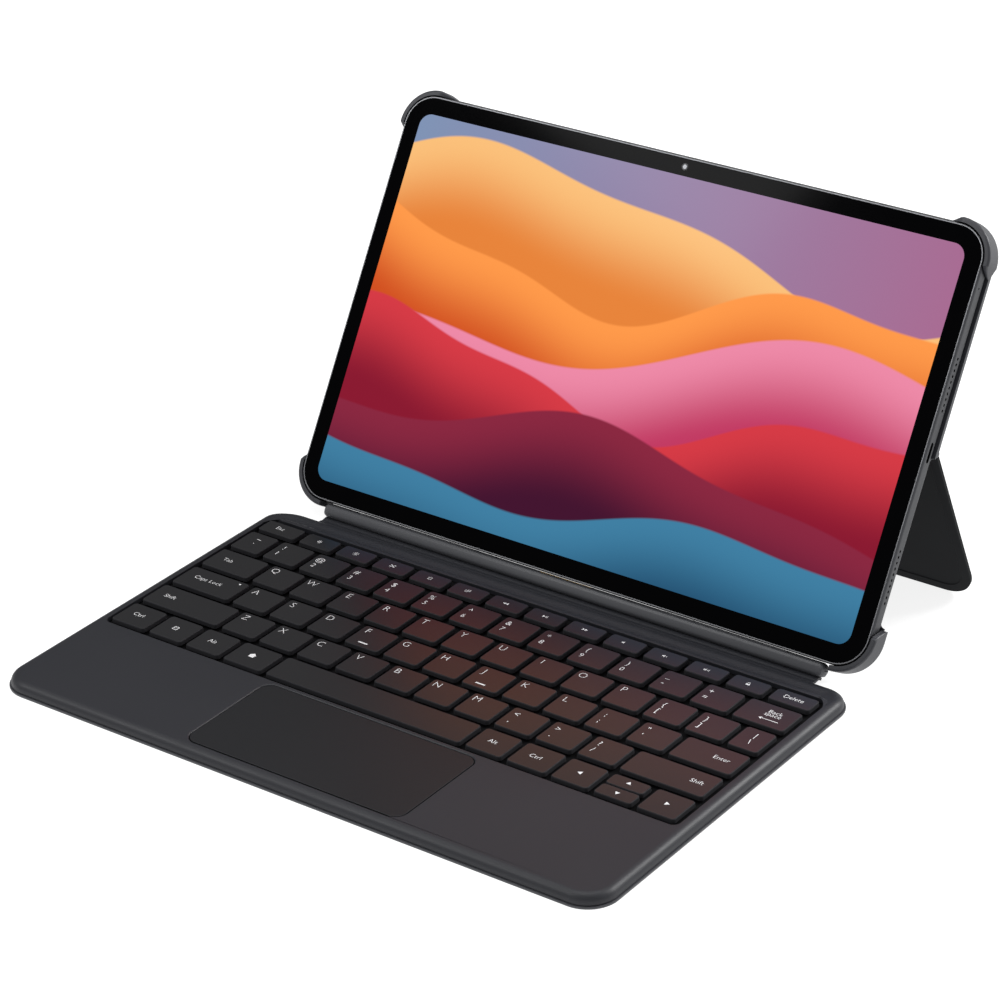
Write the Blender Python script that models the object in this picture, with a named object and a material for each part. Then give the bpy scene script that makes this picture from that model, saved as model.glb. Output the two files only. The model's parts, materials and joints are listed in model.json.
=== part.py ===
"""Tablet keyboard case: keyboard deck, folding spine, back shell with kickstand, and a tablet in its clips.

Metres, +Z up, the table at Z = 0. The deck is drawn in its own frame with y = 0 at its rear edge,
and the shell and the tablet are drawn flat with the glass upwards, then leaned back at the fold.
"""
import bmesh
import bpy
from math import cos, pi, radians, sin
from mathutils import Matrix, Vector

MM = 0.001

# clearance between pieces that touch
GAP = 0.3 * MM

# keyboard deck
DECK_SIDE = 7.8 * MM
DECK_FRONT = 6.0 * MM
DECK_CORNER = 13.0 * MM
DECK_TOP = 5.2 * MM
FLANGE_TOP = 3.4 * MM
FLANGE_DEPTH = 9.0 * MM
RIDGE_SLOPE = 1.6 * MM
ROLL_OVER = 3.4 * MM
SKIN_WALL = 1.5 * MM
LIP_PROUD = 0.7 * MM
LIP_HEIGHT = 1.0 * MM
FLOOR = 0.9 * MM
RIM_WALL = 1.0 * MM
RIM_HEIGHT = 0.6 * MM

# keys
KEY_PITCH = 19.0 * MM
KEY_WIDTH = KEY_PITCH - 2.95 * MM
ROW_PITCH = KEY_PITCH - 0.5 * MM
KEY_DEPTH = ROW_PITCH - 3.5 * MM
FN_DEPTH = 8.7 * MM
FN_ROW_GAP = 3.3 * MM
ROW_KEYS = 14
BLOCK_WIDTH = ROW_KEYS * KEY_PITCH + 1.4 * MM
BLOCK_BACK = 16.0 * MM
KEY_TOP = 6.0 * MM
KEY_HEIGHT = 1.8 * MM
KEY_EDGE = 0.4 * MM
KEY_FLARE = 0.25 * MM
KEY_CORNER = 1.6 * MM
KEY_TRAVEL = 1.0 * MM
STEM_WIDTH = 5.0 * MM
STEM_ENTRY = 0.2 * MM
STEM_REST = 0.2 * MM
SPLIT_KEY_GAP = 0.6 * MM
ESC_WIDTH = KEY_WIDTH + 2.45 * MM
GRAVE_WIDTH = KEY_WIDTH - 2.05 * MM
TAB_WIDTH = KEY_WIDTH + 7.65 * MM
CAPS_WIDTH = KEY_WIDTH + 12.55 * MM
SHIFT_WIDTH = KEY_PITCH + KEY_WIDTH + 3.35 * MM
CTRL_WIDTH = KEY_WIDTH + 0.45 * MM
HOME_WIDTH = KEY_WIDTH + 2.35 * MM
RIGHT_CTRL_WIDTH = KEY_WIDTH + 0.95 * MM
WELL_MARGIN = 2.3 * MM
WELL_FRONT_MARGIN = 1.8 * MM
WELL_BACK_MARGIN = 3.2 * MM
WELL_CORNER = 3.0 * MM
PLATE_THICKNESS = 0.8 * MM
PLATE_LEDGE = 1.5 * MM
MEMBRANE_THICKNESS = 0.3 * MM

# trackpad and what lies under the palm rest
PAD_WIDTH = 101.0 * MM
PAD_DEPTH = 49.5 * MM
PAD_CORNER = 5.0 * MM
PAD_THICKNESS = 1.2 * MM
PAD_SUNK = 0.2 * MM
PAD_FROM_WELL = 2.2 * MM
PAD_TRAVEL = 0.35 * MM
SWITCH_MARGIN = 8.0 * MM
SWITCH_BOARD = (PAD_WIDTH - 2 * SWITCH_MARGIN, PAD_DEPTH - 2 * SWITCH_MARGIN, 1.0 * MM)
SWITCH_BUTTON = 6.0 * MM
BATTERY_HEIGHT = 1.8 * MM
BOARD_HEIGHT = 0.8 * MM
CHIP = (14.0 * MM, 0.8 * MM)
SIDE_PIECE_MARGIN = 9.0 * MM
PALM_PIECE_MARGIN = 7.85 * MM
PAD_SIDE_CLEARANCE = 12.0 * MM

# tablet
TABLET_WIDTH = 276.4 * MM
TABLET_HEIGHT = 176.7 * MM
TABLET_THICKNESS = 6.8 * MM
TABLET_CORNER = 13.5 * MM
GLASS_INSET = 0.95 * MM
GLASS_THICKNESS = 0.75 * MM
DISPLAY_THICKNESS = 0.85 * MM
DISPLAY_INSET = 4.0 * MM
LENS_MODULE = 20.0 * MM
LENS_MODULE_HEIGHT = 0.9 * MM
LENS_FROM_SIDE = 24.0 * MM
LENS_FROM_TOP = 24.0 * MM

# fold line and lean of the tablet
LEAN = radians(59.07)
FOLD_BEHIND_DECK = 3.3 * MM
FOLD_TO_TABLET = 3.4 * MM
FOLD_TO_GLASS = 0.73 * MM
CLOSED_CLEARANCE = 1.2 * MM

# spine bar
SPINE_LENGTH = TABLET_WIDTH - 31.4 * MM
SPINE_HEIGHT = 5.9 * MM
SPINE_DEPTH = 6.8 * MM
SPINE_FRONT = 0.6 * MM
SPINE_ROUND = 2.2 * MM
CONTACTS = (26.0 * MM, 3.0 * MM, 1.2 * MM)
MAGNET = (60.0 * MM, 4.0 * MM, 2.5 * MM)
MAGNET_CENTRE = SPINE_LENGTH / 2 - 47.5 * MM
STRIP_WIDTH = SPINE_LENGTH - 3.0 * MM
STRIP_THICKNESS = 0.8 * MM
STRIP_LAP = 2.2 * MM

# back shell, lining and kickstand
LINING = 0.4 * MM
SHELL_WALL = 0.9 * MM
SHELL_SIDE = 0.8 * MM
CLIP_WALL = 2.2 * MM
CLIP_SIDE_RUN = 3.5 * MM
CLIP_END_RUN = 1.5 * MM
CLIP_SLOPE = 3.0 * MM
CLIP_DROP = 4.5 * MM
CLIP_EDGE = 0.8 * MM
HINGE_HEIGHT = 88.9 * MM
KICKSTAND_THICKNESS = 1.6 * MM
KICKSTAND_WIDTH = TABLET_WIDTH + 2 * SHELL_SIDE - 1.0 * MM
KICKSTAND_CORNER = 14.0 * MM
KICKSTAND_OPEN = radians(56.3)
KICKSTAND_BORDER = 4.0 * MM
KICKSTAND_RECESS = 0.3 * MM
BARREL_RADIUS = 1.3 * MM
LUG_LENGTH = 8.0 * MM
PIN_RADIUS = 0.5 * MM
PIN_LENGTH = 7.0 * MM
LENS_OPENING_MARGIN = 3.0 * MM
UPPER_CHAMFER = 0.8 * MM

CORNER_STEPS = 5
ROUND_STEPS = 12

# heights in the deck's stack
WALL_FOOT = LIP_HEIGHT + GAP
MEMBRANE_Z = FLOOR + GAP
STEM_FOOT = MEMBRANE_Z + MEMBRANE_THICKNESS + KEY_TRAVEL + STEM_REST
PLATE_TOP = STEM_FOOT + STEM_ENTRY
PLATE_Z = PLATE_TOP - PLATE_THICKNESS
CAP_FOOT = KEY_TOP - KEY_HEIGHT
WELL_FOOT = PLATE_TOP + GAP
PAD_TOP = DECK_TOP - PAD_SUNK

# places in the deck's plan, y = 0 at the rear edge
BLOCK_FRONT = -BLOCK_BACK - FN_DEPTH - FN_ROW_GAP - KEY_DEPTH - 4 * ROW_PITCH
WELL_HALF = BLOCK_WIDTH / 2 + WELL_MARGIN
WELL_BACK = -BLOCK_BACK + WELL_BACK_MARGIN
WELL_FRONT = BLOCK_FRONT - WELL_FRONT_MARGIN
PAD_BACK = WELL_FRONT - PAD_FROM_WELL
PAD_FRONT = PAD_BACK - PAD_DEPTH
DECK_WIDTH = BLOCK_WIDTH + 2 * DECK_SIDE
DECK_DEPTH = DECK_FRONT - PAD_FRONT
SIDE_ROOM = (DECK_WIDTH - PAD_WIDTH) / 2 - SIDE_PIECE_MARGIN - PAD_SIDE_CLEARANCE
PALM_ROOM = DECK_DEPTH + WELL_FRONT - 2 * PALM_PIECE_MARGIN
BATTERY = (SIDE_ROOM, PALM_ROOM, BATTERY_HEIGHT)
BOARD = (SIDE_ROOM, PALM_ROOM, BOARD_HEIGHT)
PALM_MIDDLE = (WELL_FRONT - DECK_DEPTH) / 2

# depths behind the glass
LINING_FACE = TABLET_THICKNESS + GAP
SHELL_FACE = LINING_FACE + LINING + GAP
SHELL_BACK = SHELL_FACE + SHELL_WALL
STAND_FACE = SHELL_BACK + GAP
HINGE_DEPTH = STAND_FACE + KICKSTAND_THICKNESS / 2
UPPER_BACK = STAND_FACE + KICKSTAND_THICKNESS
UPPER_FOOT = HINGE_HEIGHT + BARREL_RADIUS + GAP
CLIP_OUT = GAP + CLIP_WALL

# the fold line, then the tablet's frame: its lower edge at y = 0 and its glass at z = 0
FOLD_Z = KEY_TOP + CLOSED_CLEARANCE - FOLD_TO_GLASS
SHELL_TOP = TABLET_HEIGHT + SHELL_SIDE - GAP / 2 - UPPER_CHAMFER
REACH_BACK = FOLD_BEHIND_DECK + (FOLD_TO_TABLET + SHELL_TOP) * cos(LEAN)
REACH_BACK += (FOLD_TO_GLASS + UPPER_BACK) * sin(LEAN)
DECK_Y = (DECK_DEPTH - REACH_BACK) / 2
LEANING = Matrix.Translation((0, FOLD_BEHIND_DECK, FOLD_Z)) @ Matrix.Rotation(LEAN, 4, "X")
TABLET_PLACE = Vector((0, FOLD_TO_TABLET, -FOLD_TO_GLASS))

# the kickstand is as long as it must be to reach the table at its open angle
HINGE_Z = (LEANING @ (TABLET_PLACE + Vector((0, HINGE_HEIGHT, -HINGE_DEPTH)))).z
STAND_SLOPE = LEAN + KICKSTAND_OPEN
STAND_LENGTH = (HINGE_Z + KICKSTAND_THICKNESS / 2 * cos(STAND_SLOPE)) / sin(STAND_SLOPE)


def clear_scene():
    for obj in list(bpy.data.objects):
        bpy.data.objects.remove(obj, do_unlink=True)


def material(name, colour, roughness, metallic=0.0):
    made = bpy.data.materials.new(name)
    made.use_nodes = True
    shader = made.node_tree.nodes["Principled BSDF"]
    shader.inputs["Base Color"].default_value = (*colour, 1.0)
    shader.inputs["Roughness"].default_value = roughness
    shader.inputs["Metallic"].default_value = metallic
    return made


def empty(name, parent=None, location=(0, 0, 0), tilt=0.0):
    made = bpy.data.objects.new(name, None)
    bpy.context.collection.objects.link(made)
    made.parent = parent
    made.location = location
    made.rotation_euler.x = tilt
    return made


def rounded(x0, x1, y0, y1, radius, steps=CORNER_STEPS):
    """Corner points of a rounded rectangle with the way each one faces, anticlockwise."""
    points = []
    corners = ((x1 - radius, y0 + radius, -90), (x1 - radius, y1 - radius, 0),
               (x0 + radius, y1 - radius, 90), (x0 + radius, y0 + radius, 180))
    for cx, cy, start in corners:
        for step in range(steps + 1):
            angle = radians(start + 90 * step / steps)
            points.append((cx + radius * cos(angle), cy + radius * sin(angle), angle))
    return points


def flat_loop(x0, x1, y0, y1, radius, z, steps=CORNER_STEPS):
    return [(x, y, z) for x, y, _ in rounded(x0, x1, y0, y1, radius, steps)]


def loft(loops, closed=False):
    """One body through loops of equal count, capped at its ends or joined into a ring."""
    bm = bmesh.new()
    rows = [[bm.verts.new(point) for point in loop] for loop in loops]
    pairs = list(zip(rows, rows[1:]))
    if closed:
        pairs.append((rows[-1], rows[0]))
    else:
        bm.faces.new(rows[0])
        bm.faces.new(rows[-1])
    for low, high in pairs:
        for i in range(len(low)):
            j = (i + 1) % len(low)
            bm.faces.new((low[i], low[j], high[j], high[i]))
    bmesh.ops.recalc_face_normals(bm, faces=bm.faces)
    return bm


def body(name, bm, finish, parent, location=(0, 0, 0)):
    mesh = bpy.data.meshes.new(name)
    bm.to_mesh(mesh)
    bm.free()
    mesh.materials.append(finish)
    made = bpy.data.objects.new(name, mesh)
    bpy.context.collection.objects.link(made)
    made.parent = parent
    made.location = location
    return made


def merge(meshes):
    """Several closed shapes in one bmesh, for a tool that adds or cuts them together."""
    whole = bmesh.new()
    for bm in meshes:
        part = bpy.data.meshes.new("part")
        bm.to_mesh(part)
        bm.free()
        whole.from_mesh(part)
        bpy.data.meshes.remove(part)
    return whole


def shape(target, operation, bm):
    """Adds or cuts a tool shape that stands in the target's own frame."""
    tool = body(f"{target.name}_tool_{len(target.modifiers)}", bm, target.data.materials[0], target.parent,
                target.location)
    tool.hide_render = True
    tool.display_type = "WIRE"
    modifier = target.modifiers.new(tool.name, "BOOLEAN")
    modifier.operation = operation
    modifier.object = tool


def slab(x0, x1, y0, y1, z0, z1, radius, steps=CORNER_STEPS):
    return loft([flat_loop(x0, x1, y0, y1, radius, z, steps) for z in (z0, z1)])


def rod(radius, x0, x1, y=0.0, z=0.0):
    turns = [2 * pi * step / ROUND_STEPS for step in range(ROUND_STEPS)]
    return loft([[(x, y + radius * cos(a), z + radius * sin(a)) for a in turns] for x in (x0, x1)])


def deck_loop(inset, z, rear_z=None, side=None, rear=None, front=None):
    """A loop inside the deck's outline; rear_z is its height where it faces the fold."""
    side = inset if side is None else side
    rear = inset if rear is None else rear
    front = inset if front is None else front
    rear_z = z if rear_z is None else rear_z
    half = DECK_WIDTH / 2 - side
    radius = max(DECK_CORNER - inset, WELL_CORNER)
    loop = []
    for x, y, facing in rounded(-half, half, -DECK_DEPTH + front, -rear, radius):
        turned = max(0.0, sin(facing)) ** 2
        loop.append((x, y, z + (rear_z - z) * turned))
    return loop


def well_loop(z):
    return flat_loop(-WELL_HALF, WELL_HALF, WELL_FRONT, WELL_BACK, WELL_CORNER, z)


def bottom_cover(deck, finish):
    edge = LIP_HEIGHT / 3
    rim_out = LIP_PROUD + SKIN_WALL + GAP
    rim_in = rim_out + RIM_WALL
    rim_top = LIP_HEIGHT + RIM_HEIGHT
    loops = [deck_loop(edge, 0.0), deck_loop(0.0, edge), deck_loop(0.0, LIP_HEIGHT - edge / 2),
             deck_loop(edge / 2, LIP_HEIGHT), deck_loop(rim_out, LIP_HEIGHT), deck_loop(rim_out, rim_top),
             deck_loop(rim_in, rim_top), deck_loop(rim_in, FLOOR)]
    body("bottom_cover", loft(loops), finish, deck)


def top_cover(deck, finish):
    """The soft skin: it rolls over into the palm rest, with a low flange at the fold and the key well."""
    out = LIP_PROUD
    inner = LIP_PROUD + SKIN_WALL
    ridge = FLANGE_DEPTH + RIDGE_SLOPE
    well_side = DECK_WIDTH / 2 - WELL_HALF
    rolled = []
    for step in range(4):
        angle = radians(30 * step)
        across = ROLL_OVER * (1 - cos(angle))
        side_z = DECK_TOP - ROLL_OVER * (1 - sin(angle))
        rear_z = WALL_FOOT + (FLANGE_TOP - WALL_FOOT) * (1 + sin(angle)) / 2
        rolled.append(deck_loop(out + across, side_z, rear_z))
    flat = out + ROLL_OVER
    between = (flat + well_side) / 2
    loops = [deck_loop(out, WALL_FOOT), *rolled,
             deck_loop(flat, DECK_TOP, FLANGE_TOP, side=between, rear=FLANGE_DEPTH, front=FLANGE_DEPTH),
             deck_loop(flat, DECK_TOP, side=(between + well_side) / 2, rear=ridge, front=ridge),
             well_loop(DECK_TOP), well_loop(WELL_FOOT),
             deck_loop(inner, DECK_TOP - SKIN_WALL, FLANGE_TOP - SKIN_WALL), deck_loop(inner, WALL_FOOT)]
    cover = body("top_cover", loft(loops, closed=True), finish, deck)
    half = PAD_WIDTH / 2 + GAP
    window = slab(-half, half, PAD_FRONT - GAP, PAD_BACK + GAP, LIP_HEIGHT, KEY_TOP, PAD_CORNER + GAP)
    shape(cover, "DIFFERENCE", window)


def key_rows():
    """Each row as its front edge, its depth and its keys from the left: name and width."""
    gap = KEY_PITCH - KEY_WIDTH
    letters = [("grave", GRAVE_WIDTH, "1234567890", ("minus", "equals"), "backspace"),
               ("tab", TAB_WIDTH, "qwertyuiop", ("bracket_left", "bracket_right"), "backslash"),
               ("caps", CAPS_WIDTH, "asdfghjkl", ("semicolon", "quote"), "enter"),
               ("shift_left", SHIFT_WIDTH, "zxcvbnm", ("comma", "point", "slash"), "shift_right")]
    rows = []
    fn_front = -BLOCK_BACK - FN_DEPTH
    fn_keys = [("esc", ESC_WIDTH)] + [(f"f{i}", KEY_WIDTH) for i in range(1, 13)] + [("delete", None)]
    rows.append((fn_front, FN_DEPTH, fn_keys))
    front = fn_front - FN_ROW_GAP - KEY_DEPTH
    for left_name, left_width, signs, others, right_name in letters:
        middle = [(sign, KEY_WIDTH) for sign in (*signs, *others)]
        rows.append((front, KEY_DEPTH, [(left_name, left_width), *middle, (right_name, None)]))
        front -= ROW_PITCH
    bottom = [("ctrl", CTRL_WIDTH), ("menu", KEY_WIDTH), ("alt", KEY_WIDTH), ("home", HOME_WIDTH),
              ("space", None), ("alt_right", KEY_WIDTH), ("ctrl_right", RIGHT_CTRL_WIDTH),
              ("left", KEY_WIDTH), ("up_down", KEY_WIDTH), ("right", KEY_WIDTH)]
    rows.append((front, KEY_DEPTH, bottom))
    keys = []
    for front, depth, row in rows:
        spare = BLOCK_WIDTH - gap * (len(row) - 1) - sum(width for _, width in row if width)
        x = -BLOCK_WIDTH / 2
        for name, width in row:
            width = width or spare
            keys.append((name, x + width / 2, front + depth / 2, width, depth))
            x += width + gap
    return keys


def key_shape(width, depth, foot, x=0.0, y=0.0, z=0.0):
    """A stem, a flared skirt and a flat top with a softened edge."""
    def ring(half_x, half_y, radius, height):
        return flat_loop(x - half_x, x + half_x, y - half_y, y + half_y, radius, z + height, steps=1)

    stem = STEM_WIDTH / 2
    half_x = width / 2
    half_y = depth / 2
    return loft([ring(stem, min(stem, half_y - KEY_EDGE * 2), KEY_EDGE, foot - CAP_FOOT),
                 ring(stem, min(stem, half_y - KEY_EDGE * 2), KEY_EDGE, 0.0),
                 ring(half_x + KEY_FLARE, half_y + KEY_FLARE, KEY_CORNER, 0.0),
                 ring(half_x, half_y, KEY_CORNER, KEY_HEIGHT - KEY_EDGE),
                 ring(half_x - KEY_EDGE, half_y - KEY_EDGE, KEY_CORNER, KEY_HEIGHT)])


def keyboard(deck, plate_finish, key_finish, film_finish):
    """The plate guides the stems of the sprung keys and carries the rest of the keys fused to it."""
    ledge = PLATE_LEDGE
    outline = (-WELL_HALF - ledge, WELL_HALF + ledge, WELL_FRONT - ledge, WELL_BACK + ledge)
    plate = body("key_plate", slab(*outline, PLATE_Z, PLATE_TOP, WELL_CORNER), plate_finish, deck)
    body("switch_membrane", slab(*outline, MEMBRANE_Z, MEMBRANE_Z + MEMBRANE_THICKNESS, WELL_CORNER),
         film_finish, deck)
    holes = []
    fixed = []
    plate_middle = PLATE_Z + PLATE_THICKNESS / 2
    hole = STEM_WIDTH / 2 + GAP
    for name, x, y, width, depth in key_rows():
        if len(name) == 1 or name == "space":
            body(f"key_{name}", key_shape(width, depth, STEM_FOOT), key_finish, deck, (x, y, CAP_FOOT))
            holes.append(slab(x - hole, x + hole, y - hole, y + hole, PLATE_Z - GAP, PLATE_TOP + GAP,
                              KEY_EDGE, 1))
        elif name == "up_down":
            half = (depth - SPLIT_KEY_GAP) / 2
            for side in (-1, 1):
                centre = y + side * (half + SPLIT_KEY_GAP) / 2
                fixed.append(key_shape(width, half - KEY_FLARE, plate_middle, x, centre, CAP_FOOT))
        else:
            fixed.append(key_shape(width, depth, plate_middle, x, y, CAP_FOOT))
    shape(plate, "DIFFERENCE", merge(holes))
    shape(plate, "UNION", merge(fixed))


def stepped(size, top, middle):
    """A board with a square piece standing on its middle, its underside on the floor's clearance."""
    x, y = middle
    z = FLOOR + GAP
    width, depth, height = size

    def ring(half_x, half_y, level):
        return flat_loop(x - half_x, x + half_x, y - half_y, y + half_y, KEY_EDGE, level, steps=1)

    return loft([ring(width / 2, depth / 2, z), ring(width / 2, depth / 2, z + height),
                 ring(top[0] / 2, top[0] / 2, z + height), ring(top[0] / 2, top[0] / 2, top[1])])


def palm_rest_pieces(deck, pad_finish, board_finish, cell_finish):
    pad_middle = PAD_BACK - PAD_DEPTH / 2
    half = PAD_WIDTH / 2
    pad = slab(-half, half, -PAD_DEPTH / 2, PAD_DEPTH / 2, -PAD_THICKNESS, 0.0, PAD_CORNER)
    body("trackpad", pad, pad_finish, deck, (0, pad_middle, PAD_TOP))
    button_top = PAD_TOP - PAD_THICKNESS - PAD_TRAVEL - GAP
    switch = stepped(SWITCH_BOARD, (SWITCH_BUTTON, button_top), (0, pad_middle))
    body("trackpad_switch", switch, board_finish, deck)
    side = DECK_WIDTH / 2 - SIDE_PIECE_MARGIN
    width, depth, height = BATTERY
    z = FLOOR + GAP
    battery = slab(-side, -side + width, PALM_MIDDLE - depth / 2, PALM_MIDDLE + depth / 2, z, z + height,
                   KEY_CORNER, 1)
    body("battery_pack", battery, cell_finish, deck)
    board_middle = (side - BOARD[0] / 2, PALM_MIDDLE)
    chip = (CHIP[0], z + BOARD[2] + CHIP[1])
    body("control_board", stepped(BOARD, chip, board_middle), board_finish, deck)


def spine(tablet_frame, bar_finish, contact_finish, magnet_finish):
    """A bar under the tablet's lower edge, with its contacts and magnets let into its top face."""
    top = -GAP
    low = top - SPINE_HEIGHT
    front = -SPINE_FRONT
    back = front - SPINE_DEPTH
    half = SPINE_LENGTH / 2

    def section(x, inset):
        radius = SPINE_ROUND - inset / 2
        loop = rounded(low + inset, top - inset, back + inset, front - inset, radius)
        return [(x, y, z) for y, z, _ in loop]

    ends = ((0.0, SPINE_ROUND * 0.8), (SPINE_ROUND * 0.35, SPINE_ROUND * 0.25), (SPINE_ROUND, 0.0))
    loops = [section(-half + along, inset) for along, inset in ends]
    loops += [section(half - along, inset) for along, inset in reversed(ends)]
    bar = body("spine_bar", loft(loops), bar_finish, tablet_frame)
    middle = (front + back) / 2

    def inlay(size, x, spare):
        length, width, depth = size
        return slab(x - length / 2 - spare, x + length / 2 + spare, top - depth - spare, top + spare,
                    middle - width / 2 - spare, middle + width / 2 + spare, KEY_EDGE, 1)

    pieces = (("pogo_contacts", CONTACTS, 0.0, contact_finish),
              ("spine_magnet_left", MAGNET, -MAGNET_CENTRE, magnet_finish),
              ("spine_magnet_right", MAGNET, MAGNET_CENTRE, magnet_finish))
    for name, size, x, finish in pieces:
        body(name, inlay(size, x, 0.0), finish, tablet_frame)
    shape(bar, "DIFFERENCE", merge([inlay(size, x, GAP) for _, size, x, _ in pieces]))


def fold_strip(deck, finish):
    """The flexible strip: from the deck's rear wall it dips and laps under the front of the spine bar."""
    start = -LIP_PROUD + GAP
    under = -GAP - SPINE_HEIGHT - GAP - STRIP_THICKNESS / 2
    lap_front = -SPINE_FRONT - SPINE_ROUND
    lap_depths = (lap_front, lap_front - STRIP_LAP)
    laps = [LEANING @ (TABLET_PLACE + Vector((0, under, depth))) for depth in lap_depths]
    dip = Vector((0, (start + laps[0].y) / 2, (WALL_FOOT + laps[0].z) / 2))
    start_z = FLANGE_TOP - SKIN_WALL
    path = [Vector((0, start, start_z)), Vector((0, start + STRIP_THICKNESS, start_z)), dip, *laps]
    upper = []
    lower = []
    for i, point in enumerate(path):
        along = path[min(i + 1, len(path) - 1)] - path[max(i - 1, 0)]
        across = Vector((0, -along.z, along.y)).normalized() * STRIP_THICKNESS / 2
        upper.append(point + across)
        lower.append(point - across)
    outline = upper + lower[::-1]
    half = STRIP_WIDTH / 2
    body("fold_strip", loft([[(x, p.y, p.z) for p in outline] for x in (-half, half)]), finish, deck)


def tablet_loop(inset, depth, radius=None):
    half = TABLET_WIDTH / 2 - inset
    radius = TABLET_CORNER - inset if radius is None else radius
    return flat_loop(-half, half, inset, TABLET_HEIGHT - inset, radius, -depth)


def tablet(frame, metal, glass, panel):
    edge = TABLET_THICKNESS / 8
    pocket = GLASS_INSET - GAP
    floor = GLASS_THICKNESS + DISPLAY_THICKNESS + 2 * GAP
    loops = [tablet_loop(edge * 2, TABLET_THICKNESS), tablet_loop(edge / 2, TABLET_THICKNESS - edge / 2),
             tablet_loop(0.0, TABLET_THICKNESS - edge * 2), tablet_loop(0.0, edge * 2),
             tablet_loop(pocket / 2, edge), tablet_loop(pocket, GAP), tablet_loop(pocket, floor)]
    housing = body("tablet_housing", loft(loops), metal, frame)
    x = TABLET_WIDTH / 2 - LENS_FROM_SIDE
    y = TABLET_HEIGHT - LENS_FROM_TOP
    half = LENS_MODULE / 2
    low = -TABLET_THICKNESS - LENS_MODULE_HEIGHT
    lens = slab(x - half, x + half, y - half, y + half, low, -TABLET_THICKNESS + edge, half / 2, 3)
    shape(housing, "UNION", lens)
    glass_loops = [tablet_loop(GLASS_INSET, GLASS_THICKNESS), tablet_loop(GLASS_INSET, GAP),
                   tablet_loop(GLASS_INSET + GAP, 0.0)]
    body("tablet_glass", loft(glass_loops), glass, frame)
    face = GLASS_THICKNESS + GAP
    display = [tablet_loop(DISPLAY_INSET, depth) for depth in (face + DISPLAY_THICKNESS, face)]
    body("tablet_display", loft(display), panel, frame)


def clip(side, up):
    """A wall round one corner of the tablet, up to its glass, with sloping ends."""
    corner_x = TABLET_WIDTH / 2 - TABLET_CORNER
    corner_y = TABLET_HEIGHT / 2 - TABLET_CORNER
    stations = [(corner_x + TABLET_CORNER, corner_y - CLIP_SIDE_RUN, 0.0, CLIP_DROP),
                (corner_x + TABLET_CORNER, corner_y - CLIP_SIDE_RUN + CLIP_SLOPE, 0.0, 0.0)]
    for step in range(CORNER_STEPS + 1):
        angle = radians(90 * step / CORNER_STEPS)
        x = corner_x + TABLET_CORNER * cos(angle)
        y = corner_y + TABLET_CORNER * sin(angle)
        stations.append((x, y, angle, 0.0))
    stations.append((corner_x - CLIP_END_RUN, corner_y + TABLET_CORNER, radians(90), CLIP_DROP))
    foot = -SHELL_BACK + GAP
    loops = []
    for x, y, angle, drop in stations:
        top = -GAP - drop
        section = ((GAP, foot), (CLIP_OUT, foot), (CLIP_OUT, top - CLIP_EDGE),
                   (CLIP_OUT - CLIP_EDGE, top), (GAP, top))
        loops.append([(side * (x + out * cos(angle)), TABLET_HEIGHT / 2 + up * (y + out * sin(angle)), z)
                      for out, z in section])
    return loft(loops)


def lug(side):
    """The end of the hinge line: a half-round barrel on the upper half of the shell."""
    neck = BARREL_RADIUS + 2 * GAP + UPPER_CHAMFER
    outline = []
    for step in range(ROUND_STEPS // 2 + 1):
        angle = pi / 2 + pi * step / (ROUND_STEPS // 2)
        outline.append((BARREL_RADIUS * cos(angle), BARREL_RADIUS * sin(angle)))
    outline += [(neck, -KICKSTAND_THICKNESS / 2 + GAP), (neck, BARREL_RADIUS - GAP)]
    outer = KICKSTAND_WIDTH / 2
    return loft([[(side * x, HINGE_HEIGHT + y, -HINGE_DEPTH + z) for y, z in outline]
                 for x in (outer - LUG_LENGTH, outer)])


def pin_bores():
    """Both bores, from the kickstand's barrel into the shell's lug, on the hinge line."""
    start = KICKSTAND_WIDTH / 2 - LUG_LENGTH - PIN_LENGTH / 2 - GAP
    return [sorted((side * start, side * (start + PIN_LENGTH + 2 * GAP))) for side in (-1, 1)]


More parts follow.
